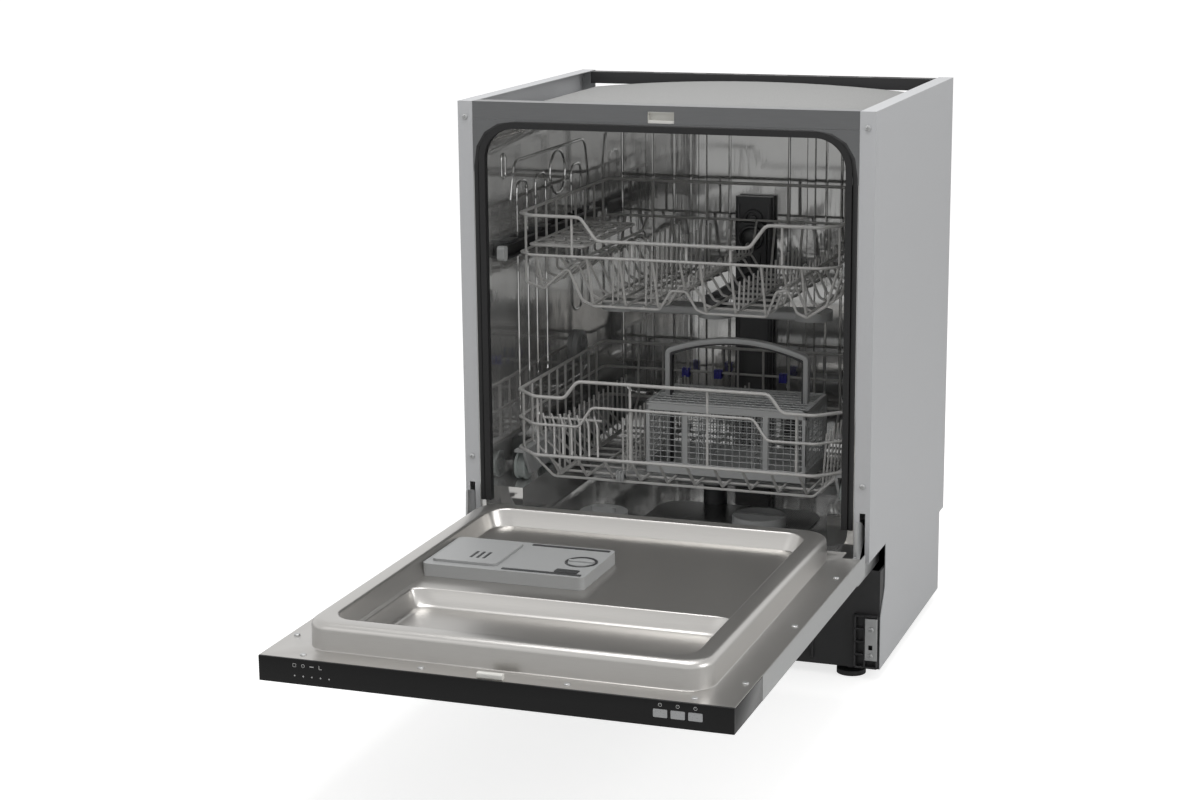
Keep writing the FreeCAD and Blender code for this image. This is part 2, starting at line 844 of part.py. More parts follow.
def water_parts():
    """Sump, filters, pumps, softener and the connections at the back."""
    floor_under = S.tub_floor - S.tub_sheet - S.seat_gap
    floor_over = S.tub_floor + S.seat_gap
    sump_y = front + S.sump_y
    sump_low = floor_under - S.sump_depth
    cup = rod((S.sump_x, sump_y, sump_low), "z", S.sump_radius, S.sump_depth)
    collar = rod(
        (S.sump_x, sump_y, floor_under - S.sump_wall),
        "z",
        S.sump_radius + S.sump_flange,
        S.sump_wall,
    )
    well = rod(
        (S.sump_x, sump_y, sump_low + S.sump_wall),
        "z",
        S.sump_radius - S.sump_wall,
        S.sump_depth,
    )
    keep("sump", cut(fuse([cup, collar]), [well]))

    filter_low = sump_low + S.sump_wall + S.seat_gap
    filter_high = filter_low + S.filter_height
    tube = rod((S.sump_x, sump_y, filter_low), "z", S.filter_radius, S.filter_height)
    inside = rod(
        (S.sump_x, sump_y, filter_low + S.filter_wall),
        "z",
        S.filter_radius - S.filter_wall,
        S.filter_height,
    )
    grip_half = S.filter_radius - S.filter_wall / 2
    grip = box(
        (S.sump_x - grip_half, sump_y - S.filter_grip_width / 2, filter_high - S.filter_grip_height),
        (S.sump_x + grip_half, sump_y + S.filter_grip_width / 2, filter_high),
    )
    keep("filter_cup", fuse([cut(tube, [inside]), grip]))

    plate = block(
        (-S.strainer_width / 2 + S.sump_x / 2, sump_y - S.strainer_depth / 2, floor_over),
        (S.strainer_width / 2 + S.sump_x / 2, sump_y + S.strainer_depth / 2, floor_over + S.strainer_sheet),
        S.filter_radius,
        "z",
        "strainer",
    )
    passage = rod(
        (S.sump_x, sump_y, floor_over - S.overrun),
        "z",
        S.filter_radius + S.slide_gap,
        S.overrun * 3,
    )
    hub_y = front + S.hub_y
    hub_room = rod(
        (Size.of(0), hub_y, floor_over - S.overrun),
        "z",
        S.hub_radius + S.slide_gap,
        S.overrun * 3,
    )
    salt_room = rod(
        (-S.salt_x, front + S.salt_y, floor_over - S.overrun),
        "z",
        S.salt_radius + S.slide_gap,
        S.overrun * 3,
    )
    keep("filter_plate", cut(plate, [passage, hub_room, salt_room]))

    post = rod((Size.of(0), hub_y, floor_over), "z", S.hub_radius, S.hub_height)
    stub = rod(
        (Size.of(0), hub_y, floor_over),
        "z",
        S.hub_stub_radius,
        S.hub_height + S.hub_stub_height,
    )
    keep("lower_spray_hub", fuse([post, stub]))

    lid = rod((-S.salt_x, front + S.salt_y, floor_over), "z", S.salt_radius, S.salt_height)
    salt_y = front + S.salt_y
    bar = block(
        (-S.salt_x - S.salt_radius / 2, salt_y - S.salt_grip_width / 2, floor_over + S.salt_height / 2),
        (-S.salt_x + S.salt_radius / 2, salt_y + S.salt_grip_width / 2, floor_over + S.salt_height * 3 / 2),
        S.salt_grip_width / 3,
        "z",
        "salt_grip",
    )
    keep("salt_cap", fuse([lid, bar]))

    tray_floor = S.panel_lift + S.base_wall + S.seat_gap
    pump_z = tray_floor + S.pump_radius
    motor = rod((-S.pump_length / 2, pump_y, pump_z), "x", S.pump_radius, S.pump_length)
    nozzle = rod(
        (Size.of(0), pump_y, pump_z),
        "z",
        S.pump_nozzle_radius,
        floor_under - pump_z,
    )
    keep("circulation_pump", fuse([motor, nozzle]))
    drain = rod(
        (S.outlet_x, pump_y - S.drain_length / 2, tray_floor + S.drain_radius),
        "y",
        S.drain_radius,
        S.drain_length,
    )
    neck = rod(
        (S.outlet_x, pump_y - S.drain_length / 2, tray_floor + S.drain_radius),
        "y",
        S.outlet_radius,
        S.drain_length * 3 / 2,
    )
    keep("drain_pump", fuse([drain, neck]))
    softener_left = -foot_x + S.boss_radius + S.softener_gap
    softener_right = -S.pump_length / 2 - S.door_gap
    tank = block(
        (softener_left, front + S.toe_upper_depth, tray_floor),
        (softener_right, front + S.toe_upper_depth + S.softener_depth, tray_floor + S.softener_height),
        S.boss_radius,
        "z",
        "softener",
    )
    spout = rod(
        (-S.salt_x, front + S.salt_y, tray_floor + S.softener_height / 2),
        "z",
        S.salt_radius - S.base_wall,
        floor_under - tray_floor - S.softener_height / 2,
    )
    keep("water_softener", fuse([tank, spout]))

    wall_back = back - S.rear_notch_depth - S.panel_sheet + S.seat_gap
    valve = rod((S.valve_inset - half, wall_back, S.valve_height), "y", S.valve_flange_radius, S.valve_flange)
    thread = rod(
        (S.valve_inset - half, wall_back, S.valve_height),
        "y",
        S.valve_thread_radius,
        S.valve_flange + S.valve_thread_length,
    )
    keep("inlet_valve", fuse([valve, thread]))
    outlet = rod((S.outlet_x, wall_back, S.valve_height), "y", S.valve_flange_radius, S.valve_flange)
    spigot = rod(
        (S.outlet_x, wall_back, S.valve_height),
        "y",
        S.outlet_radius,
        S.valve_flange + S.valve_thread_length,
    )
    keep("drain_spigot", fuse([outlet, spigot]))
    gland = rod((S.gland_x, wall_back, S.valve_height), "y", S.gland_radius, S.valve_flange * 2)
    bore = rod(
        (S.gland_x, wall_back - S.overrun, S.valve_height),
        "y",
        S.gland_bore_radius,
        S.valve_flange * 2 + S.overrun * 2,
    )
    keep("supply_gland", cut(gland, [bore]))


# Where the jets stand, as shares of the arm's reach
JET_SHARES = (0.35, 0.6, 0.85)


def spray_arm(name, middle, reach, low, hung=False):
    """A flat two-ended arm with round paddles, a boss, a bearing bore and rows of jets.

    A standing arm turns on a stub from below, a hung one on a stub from above.
    """
    x, y = middle
    high = low + S.arm_thickness
    beam = block(
        (x - reach + S.arm_tip_radius, y - S.arm_width / 2, low),
        (x + reach - S.arm_tip_radius, y + S.arm_width / 2, high),
        S.arm_thickness / 3,
        "x",
        "arm_beam",
    )
    ends = [
        rod((x + (reach - S.arm_tip_radius) * side, y, low), "z", S.arm_tip_radius, S.arm_thickness)
        for side in (-1, 1)
    ]
    crown = S.hub_stub_height / 3
    boss_low = low - crown if hung else low
    boss = rod((x, y, boss_low), "z", S.arm_boss_radius, S.arm_thickness + crown)
    bore_depth = S.hub_stub_height + S.slide_gap
    bore_low = high - bore_depth if hung else low - S.overrun
    bore = rod((x, y, bore_low), "z", S.hub_stub_radius + S.seat_gap, bore_depth + S.overrun)
    jets = []
    for share in JET_SHARES:
        for side in (-1, 1):
            jets.append(
                rod(
                    (x + reach * share * side, y + S.arm_width / 5 * side, high - S.arm_thickness / 3),
                    "z",
                    S.jet_radius,
                    S.arm_thickness,
                )
            )
    keep(name, cut(fuse([beam, boss] + ends), [bore] + jets))


def tub_fittings():
    """The feed duct with its docking ports, and the spoked vent on the left wall."""
    rear = tub_back - S.rib_depth - S.seat_gap
    duct = block(
        (-S.duct_width / 2, rear - S.duct_thickness, S.tub_floor + S.seat_gap),
        (S.duct_width / 2, rear, upper_floor + S.duct_top_lift),
        S.duct_thickness / 3,
        "z",
        "duct",
    )
    port_pitch = S.duct_port_radius * 3
    port_top = upper_floor + S.duct_port_lift
    ports = [
        rod(
            (Size.of(0), rear - S.duct_thickness - S.overrun, port_top - port_pitch * step),
            "y",
            S.duct_port_radius,
            S.overrun + S.duct_thickness / 2,
        )
        for step in (0, 1)
    ]
    keep("feed_duct", cut(duct, ports))

    wall = -tub_half + S.seat_gap
    y = tub_back - S.vent_back_gap
    disc = rod((wall, y, S.vent_height), "x", S.vent_radius, S.vent_thickness)
    dish = rod(
        (wall + S.vent_thickness / 2, y, S.vent_height),
        "x",
        S.vent_radius - S.vent_spoke_width,
        S.vent_thickness,
    )
    nave = rod((wall, y, S.vent_height), "x", S.vent_spoke_width * 2, S.vent_thickness)
    spokes = []
    reach = S.vent_radius - S.vent_spoke_width / 2
    spokes.append(
        box(
            (wall, y - reach, S.vent_height - S.vent_spoke_width / 2),
            (wall + S.vent_thickness, y + reach, S.vent_height + S.vent_spoke_width / 2),
        )
    )
    spokes.append(
        box(
            (wall, y - S.vent_spoke_width / 2, S.vent_height - reach),
            (wall + S.vent_thickness, y + S.vent_spoke_width / 2, S.vent_height + reach),
        )
    )
    keep("air_vent", fuse([cut(disc, [dish]), nave] + spokes))


def door_shells():
    """The outer skin, the drawn inner liner and the plastic control strip at the door's tip."""
    sheet = S.skin_sheet
    skin_front = tip + S.strip_length + S.seat_gap
    floor = box((-door_half, skin_front, skin_low), (door_half, heel, skin_low + sheet))
    side = box(
        (door_half - sheet, skin_front, skin_low),
        (door_half, heel, S.door_plane - S.liner_sheet - S.seat_gap),
    )
    notch = box(
        (notch_x, heel - S.notch_length, skin_low - S.overrun),
        (door_half - sheet, heel + S.overrun, skin_low + S.overrun),
    )
    holes = []
    middle_y = (skin_front + heel) / 2
    for x in (-1, 1):
        for y in (-1, 1):
            holes.append(
                rod(
                    (S.fixing_span_x / 2 * x, middle_y + S.fixing_span_y / 2 * y, skin_low - S.overrun),
                    "z",
                    S.fixing_hole_radius,
                    S.overrun * 2,
                )
            )
    tools = [notch, mirror(notch)] + holes
    keep("door_outer_panel", cut(fuse([floor, side, mirror(side)]), tools))

    t = S.liner_sheet
    edge = door_half - S.seat_gap
    plate_front = tip + S.strip_wall + S.seat_gap
    plate = box((-edge, plate_front, S.door_plane - t), (edge, heel, S.door_plane))
    low = S.door_plane - t
    pan = block(
        (-pan_half, pan_front, low),
        (pan_half, pan_rear, pan_top),
        S.pan_corner,
        "z",
        "pan",
    )
    round_edges(pan, S.pan_edge_round, lambda e: at_level(e, pan_top))
    pan_void = block(
        (-pan_half + t, pan_front + t, low - S.overrun),
        (pan_half - t, pan_rear - t, pan_top - t),
        S.pan_corner - t,
        "z",
        "pan_void",
    )
    round_edges(pan_void, S.pan_edge_round - t, lambda e: at_level(e, pan_top - t))
    basin_rear = pan_front + S.pan_rim + S.basin_length
    inside = pan_half - S.pan_rim

    basin_depth = S.basin_depth
    shelf_depth = S.shelf_depth
    shelf_rear = pan_rear - S.pan_rim
    outside = []
    hollows = []
    for name, start, rear, depth in (
        ("basin", pan_front + S.pan_rim, basin_rear, basin_depth),
        ("shelf", basin_rear - S.basin_corner * 2, shelf_rear, shelf_depth),
    ):
        outside.append(
            block(
                (-inside - t, start - t, pan_top - depth - t),
                (inside + t, rear + t, pan_top - t / 2),
                S.basin_corner + t,
                "z",
                name + "_outside",
            )
        )
        hollows.append(
            block(
                (-inside, start, pan_top - depth),
                (inside, rear, pan_top + S.overrun),
                S.basin_corner,
                "z",
                name + "_hollow",
            )
        )
    corner = box(
        (notch_x, heel - S.notch_length, S.door_plane - S.overrun),
        (door_half + S.overrun, heel + S.overrun, S.door_plane + S.overrun),
    )
    skin = cut(fuse([plate, pan]), [pan_void, corner, mirror(corner)])
    keep("door_inner_liner", cut(fuse([skin] + outside), hollows))

    strip = box((-door_half, tip, skin_low), (door_half, tip + S.strip_length, S.door_plane - t - S.seat_gap))
    cap = box((-door_half, tip, skin_low), (door_half, tip + S.strip_wall, S.door_plane))
    wall = S.strip_wall
    hollow = box(
        (-door_half + wall, tip + wall, skin_low + wall),
        (door_half - wall, tip + S.strip_length + S.overrun, S.door_plane + S.overrun),
    )
    openings = []
    middle_z = (skin_low + S.door_plane) / 2
    gap = S.seat_gap
    button_first = door_half - S.button_inset - S.button_pitch * 2
    for n in range(3):
        x = button_first + S.button_pitch * n
        openings.append(
            box(
                (x - S.button_width / 2 - gap, tip - S.overrun, middle_z - S.button_height / 2 - gap),
                (x + S.button_width / 2 + gap, tip + S.overrun, middle_z + S.button_height / 2 + gap),
            )
        )
    keep("control_strip", cut(fuse([cut(strip, [hollow]), cap]), openings))
    for n in range(3):
        x = button_first + S.button_pitch * n
        cap_block = block(
            (x - S.button_width / 2, tip + gap, middle_z - S.button_height / 2),
            (x + S.button_width / 2, tip + S.button_depth, middle_z + S.button_height / 2),
            S.button_height / 8,
            "y",
            "button",
        )
        keep(f"button_{n + 1}", cap_block)
    board_right = door_half - S.board_inset
    board_front = tip + S.button_depth + S.button_travel + gap * 2
    board = block(
        (board_right - S.board_width, board_front, skin_low + wall + gap),
        (board_right, board_front + S.board_length, skin_low + wall + gap + S.board_height),
        S.strip_wall,
        "z",
        "board",
    )
    keep("control_board", board)


def at_level(edge, level):
    """Whether an edge lies at a height."""
    return all(abs(v.Point.z - float(level)) < SAME_PLACE for v in edge.Vertexes)


def door_fittings():
    """Latch, dispenser with its sliding lid and rinse cap, and the bottom seal."""
    latch_front = tip + S.latch_back - S.latch_length / 2
    keep(
        "door_latch",
        block(
            (-S.latch_width / 2, latch_front, S.door_plane + S.seat_gap / 3),
            (S.latch_width / 2, latch_front + S.latch_length, S.door_plane + S.latch_height),
            S.latch_length / 4,
            "x",
            "latch",
        ),
    )
    seat = pan_top - S.shelf_depth + S.seat_gap / 3
    top = seat + S.dispenser_height
    x = pan_half * -1 + S.pan_rim + S.dispenser_margin + S.dispenser_width / 2
    y = front - S.dispenser_y
    housing = block(
        (x - S.dispenser_width / 2, y - S.dispenser_length / 2, seat),
        (x + S.dispenser_width / 2, y + S.dispenser_length / 2, top),
        S.dispenser_corner,
        "z",
        "dispenser",
    )
    lid_x = x - S.dispenser_width / 2 + S.dispenser_corner + S.lid_width / 2
    well_half = S.lid_width / 2 - S.dispenser_corner
    well_reach = S.lid_length / 2 - S.dispenser_corner
    well = block(
        (lid_x - well_half, y - well_reach, seat + S.dispenser_height / 3),
        (lid_x + well_half, y + well_reach, top + S.overrun),
        S.dispenser_corner,
        "z",
        "dispenser_well",
    )
    rinse_x = x + S.dispenser_width / 2 - S.dispenser_corner - S.rinse_radius
    pocket = rod((rinse_x, y, top - S.rinse_height), "z", S.rinse_radius + S.slide_gap, S.overrun * 2)
    keep("detergent_dispenser", cut(housing, [well, pocket]))
    lid_low = top + S.seat_gap
    cover = block(
        (lid_x - S.lid_width / 2, y - S.lid_length / 2, lid_low),
        (lid_x + S.lid_width / 2, y + S.lid_length / 2, lid_low + S.lid_thickness),
        S.dispenser_corner,
        "z",
        "lid",
    )
    keep("dispenser_lid", cover)
    stopper = rod((rinse_x, y, top - S.rinse_height + S.seat_gap), "z", S.rinse_radius, S.rinse_height)
    fin = block(
        (rinse_x - S.rinse_radius + S.slide_gap, y - S.rinse_height / 2, top - S.rinse_height / 2),
        (rinse_x + S.rinse_radius - S.slide_gap, y + S.rinse_height / 2, top + S.rinse_height * 3 / 4),
        S.rinse_height / 4,
        "x",
        "rinse_fin",
    )
    keep("rinse_cap", fuse([stopper, fin]))

    seal_low = pan_top - S.pan_edge_round - S.seal_height
    keep(
        "door_bottom_seal",
        box(
            (-pan_half + S.pan_corner, pan_rear + S.seat_gap / 3, seal_low),
            (pan_half - S.pan_corner, pan_rear + S.seal_thickness, seal_low + S.seal_height),
            "seal",
        ),
    )


def hinges():
    """Cabinet brackets with their pins, and the door's arms with curved horns."""
    plate_low = bracket_x
    plate_high = plate_low + S.hinge_plate
    bracket_low = S.panel_lift + S.base_height + S.seat_gap
    outline = [
        (hinge_y, S.hinge_height - S.hinge_nose),
        (front, bracket_low),
        (front + S.bracket_reach, bracket_low),
        (front + S.bracket_reach, S.hinge_height),
        (front, S.hinge_height + S.hinge_nose / 2),
        (hinge_y, S.hinge_height + S.hinge_nose),
    ]
    plate = prism("yz", outline, plate_low, plate_high, "bracket_plate")
    nose = rod((plate_low, hinge_y, S.hinge_height), "x", S.hinge_nose, S.hinge_plate)
    pin = rod(
        (plate_low, hinge_y, S.hinge_height),
        "x",
        S.hinge_pin_radius,
        S.hinge_plate * 4,
    )
    keep("hinge_brackets", pair(fuse([plate, nose, pin])))

    arm_low = plate_high + S.slide_gap * 2
    arm_high = arm_low + S.hinge_plate
    disc = rod((arm_low, hinge_y, S.hinge_height), "x", S.horn_radius, S.hinge_plate)
    start = math.radians(DIMENSIONS["horn_start_angle"])
    end = math.radians(DIMENSIONS["horn_end_angle"])
    far = S.horn_radius * 2
    wedge = prism(
        "yz",
        [
            (hinge_y, S.hinge_height),
            (hinge_y + far * math.sin(end), S.hinge_height + far * math.cos(end)),
            (hinge_y + far * math.sin(start), S.hinge_height + far * math.cos(start)),
        ],
        arm_low,
        arm_high,
        "horn_wedge",
    )
    horn = common([disc, wedge])
    strip_high = S.door_plane - S.liner_sheet - S.seat_gap * 2
    strip_low = skin_low + S.skin_sheet + S.seat_gap * 2
    strip = box((arm_low, hinge_y - S.arm_length, strip_low), (arm_high, hinge_y, strip_high))
    eye = rod((arm_low, hinge_y, S.hinge_height), "x", S.hinge_nose + S.hinge_plate, S.hinge_plate)
    bore = rod(
        (arm_low - S.overrun, hinge_y, S.hinge_height),
        "x",
        S.hinge_pin_radius + S.pin_gap,
        S.hinge_plate + S.overrun * 2,
    )
    keep("hinge_arms", pair(cut(fuse([horn, strip, eye]), [bore])))


def rack_loop(half_x, y_low, y_high, level, rise, rise_half):
    """The corners of a rack's rail; its front is raised, or dipped, over the middle by rise."""
    slope = S.rack_corner
    points = [vec(half_x, y_high, level), vec(-half_x, y_high, level), vec(-half_x, y_low, level)]
    if rise is not None:
        points += [
            vec(-rise_half - slope, y_low, level),
            vec(-rise_half, y_low, level + rise),
            vec(rise_half, y_low, level + rise),
            vec(rise_half + slope, y_low, level),
        ]
    points.append(vec(half_x, y_low, level))
    return points


rack_front = front + S.rack_setback
rack_back = tub_back - S.rack_back_gap
rack_floor = rack_level + S.rack_floor_lift
rack_rim = rack_level + S.rack_rim_lift
rack_belt = rack_level + S.rack_belt_lift
# The lap of two welded wires, as a share of the wire
WELD_SHARE = 0.85
# The part of a rack's floor over which the long wires spread, and the seat that they leave for a bar
FLOOR_SPREAD_SHARE = 0.95
SEAT_SHARE = 1.35
# The share of the spare height between the basket's handle and the ceiling that lies under the upper arm
SPARE_SHARE = 0.1122
lower_half = tub_half - S.rack_side_gap
lower_bed = lower_half - S.rack_floor_inset
handle_half = lower_half - S.rack_handle_inset
wheel_x = tub_half - S.wheel_side_gap - S.wheel_width
basket_right = lower_half - S.cutlery_inset
basket_width = basket_right + S.cutlery_left
basket_x = (basket_right - S.cutlery_left) / 2
basket_low = rack_floor + S.wire * SEAT_SHARE + S.seat_gap
handle_top = basket_low + S.cutlery_height + S.lid_sheet + S.handle_height
upper_half = tub_half - S.upper_side_gap
dip_half = upper_half - S.upper_dip_inset
runner_x = tub_half - S.runner_side_gap
arm_hang = S.wire / 2 + S.pipe_radius * 2 + S.elbow_skirt + S.arm_thickness + S.hub_stub_height / 3
upper_lowest = handle_top + arm_hang
upper_highest = ceiling - S.upper_rim_lift - S.rim_wire / 2
upper_floor = upper_lowest + (upper_highest - upper_lowest) * SPARE_SHARE
# Places along and across the racks, as shares of their length and half width
CLIP_SHARES = (-0.4325, -0.216, 0.216, 0.649)
UPPER_ROW_SHARES = (-0.35, 0.05, 0.62)
HANGER_SHARES = (0.34, 0.85)
ROLLER_SHARES = (0.06, 0.4)
# The height of the basket handle's bow a quarter of the way along it, as a share of its crown
BOW_SHARE = 0.8


def basket_grid(half_x, y_low, y_high, floor_half, levels, counts):
    """Cross wires and long wires of a rack, each running down a side, over the floor and up again."""
    floor, belt, rim, front_rim = levels
    inset = S.wire * WELD_SHARE
    bend = S.rack_bend
    wires = []
    for y in spread(counts[0], y_low + bend, y_high - bend):
        outer = half_x - inset
        wires += chain(
            [
                vec(-outer, y, rim),
                vec(-outer, y, belt),
                vec(-floor_half, y, floor),
                vec(floor_half, y, floor),
                vec(outer, y, belt),
                vec(outer, y, rim),
            ],
            S.wire,
        )
    lift = floor + S.wire * WELD_SHARE
    for x in spread(counts[1], -floor_half * FLOOR_SPREAD_SHARE, floor_half * FLOOR_SPREAD_SHARE):
        wires += chain(
            [
                vec(x, y_low + inset, front_rim(x)),
                vec(x, y_low + inset, belt),
                vec(x, y_low + bend, lift),
                vec(x, y_high - bend, lift),
                vec(x, y_high - inset, belt),
                vec(x, y_high - inset, rim),
            ],
            S.wire,
        )
    return wires


def tine_row(x, y_low, y_high, level, height):
    """A bar along the rack with upright tines."""
    bar = straight(vec(x, y_low, level), vec(x, y_high, level), S.wire)
    count = int((float(y_high) - float(y_low)) / float(S.tine_pitch))
    tines = [
        straight(vec(x, y, level), vec(x, y, level + height), S.tine_wire)
        for y in spread(count, y_low + S.wire * 2, y_high - S.wire * 2)
    ]
    return [bar] + tines


def lower_rack():
    """Rails, bent wires, plate tines, a folding row with its clips, wheel carriers and wheels."""
    half_x = lower_half
    mid = rack_level + S.rack_mid_lift
    corner = S.rack_corner / 2
    rails = [
        hoop(
            rack_loop(half_x, rack_front, rack_back, level, S.rack_handle_rise, handle_half),
            corner,
            wire,
        )
        for level, wire in ((rack_rim, S.rim_wire), (mid, S.wire))
    ]
    rails.append(hoop(rack_loop(half_x, rack_front, rack_back, rack_belt, None, None), corner, S.rim_wire))
    raised = rack_rim + S.rack_handle_rise

    def front_rim(x):
        return raised if abs(x) < float(handle_half) else rack_rim

    wires = basket_grid(
        half_x,
        rack_front,
        rack_back,
        lower_bed,
        (rack_floor, rack_belt, rack_rim, front_rim),
        (9, 8),
    )
    bar_level = rack_floor + S.wire * (1 + WELD_SHARE) + S.seat_gap
    fixed_level = rack_floor + S.wire * WELD_SHARE
    bend = S.rack_bend
    row_front = rack_front + bend
    row_back = rack_back - bend
    basket_back = front + S.cutlery_y + S.cutlery_depth / 2
    rows = tine_row(lower_half - S.right_row_inset, row_front, row_back, fixed_level + S.wire, S.tine_height)
    rows += tine_row(S.outer_row_inset - lower_half, row_front, row_back, fixed_level, S.tine_height)
    rows += tine_row(S.rear_row_x, basket_back + S.clip_width, row_back, fixed_level, S.tine_height)
    keep("lower_rack", made(Part.makeCompound(rails + wires + rows), "lower_rack_wire"))

    fold = tine_row(-S.fold_row_x, row_front, row_back, bar_level, S.tine_height)
    keep("folding_tines", made(Part.makeCompound(fold), "folding_row"))
    clips = []
    for y, wire_y in ((row_front - S.wire / 2, row_front), (row_back - S.wire, row_back)):
        wire_room = rod(
            (-S.fold_row_x - S.clip_width, wire_y, rack_floor),
            "x",
            S.wire / 2 + S.seat_gap,
            S.clip_width * 2,
        )
        clip = box(
            (-S.fold_row_x - S.clip_width / 2, y, rack_floor),
            (-S.fold_row_x + S.clip_width / 2, y + S.clip_width / 2, rack_floor + S.clip_height),
        )
        room = S.wire / 2 + S.seat_gap
        eye = rod((-S.fold_row_x, y - S.overrun, bar_level), "y", room, S.clip_width + S.overrun * 2)
        clips.append(cut(clip, [eye, wire_room]))
    for x_share in CLIP_SHARES:
        x = half_x * x_share
        clip = box(
            (x - S.clip_width / 2, rack_back - S.wire * 2, mid - S.clip_height / 2),
            (x + S.clip_width / 2, rack_back + S.wire, mid + S.clip_height / 2),
        )
        rail_room = rod((x - S.clip_width, rack_back, mid), "x", S.wire / 2 + S.seat_gap, S.clip_width * 2)
        clips.append(cut(clip, [rail_room]))
    keep("tine_clips", group(clips))

    axle_z = rack_level + S.wheel_radius
    places = [
        rack_front + S.wheel_first,
        rack_front + S.wheel_first + S.wheel_spacing,
        rack_back - S.wheel_last - S.wheel_spacing,
        rack_back - S.wheel_last,
    ]
    plate_x = wheel_x - S.slide_gap * 2 - S.carrier_plate
    top = rack_belt - S.rim_wire / 2 - S.seat_gap / 3
    carriers = []
    for first, second in (places[:2], places[2:]):
        low_y = first - S.carrier_margin
        high_y = second + S.carrier_margin
        web = prism(
            "yz",
            [
                (low_y, top),
                (low_y, top - S.carrier_plate * 2),
                (first - S.wheel_bore_radius, axle_z - S.wheel_bore_radius * 2),
                (second + S.wheel_bore_radius, axle_z - S.wheel_bore_radius * 2),
                (high_y, top - S.carrier_plate * 2),
                (high_y, top),
            ],
            plate_x,
            plate_x + S.carrier_plate,
            "carrier_web",
        )
        shelf = box((plate_x, low_y, top - S.carrier_plate), (half_x + S.wire, high_y, top))
        pins = [
            rod((plate_x, y, axle_z), "x", S.wheel_bore_radius - S.pin_gap, S.carrier_plate + S.wheel_width)
            for y in (first, second)
        ]
        rooms = [
            straight(
                vec(lower_bed, y, rack_floor),
                vec(half_x - S.wire * WELD_SHARE, y, rack_belt),
                S.wire + S.seat_gap * 2,
            )
            for y in spread(9, row_front, row_back)
        ]
        carrier = cut(fuse([web, shelf] + pins), [made(Part.makeCompound(rooms), "wire_rooms")])
        carriers += [carrier, mirror(carrier)]
    keep("wheel_carriers", group(carriers))
    for n, y in enumerate(places, start=1):
        tread = rod((wheel_x, y, axle_z), "x", S.wheel_radius, S.wheel_width)
        dish = rod(
            (wheel_x + S.wheel_web, y, axle_z),
            "x",
            S.wheel_radius - S.wheel_web / 2,
            S.wheel_width,
        )
        hub = rod((wheel_x, y, axle_z), "x", S.wheel_bore_radius + S.wheel_web / 2, S.wheel_width)
        bore = rod(
            (wheel_x - S.overrun, y, axle_z),
            "x",
            S.wheel_bore_radius,
            S.wheel_width + S.overrun * 2,
        )
        wheel = cut(fuse([cut(tread, [dish]), hub]), [bore])
        keep(f"rack_wheels_{n}", pair(wheel))


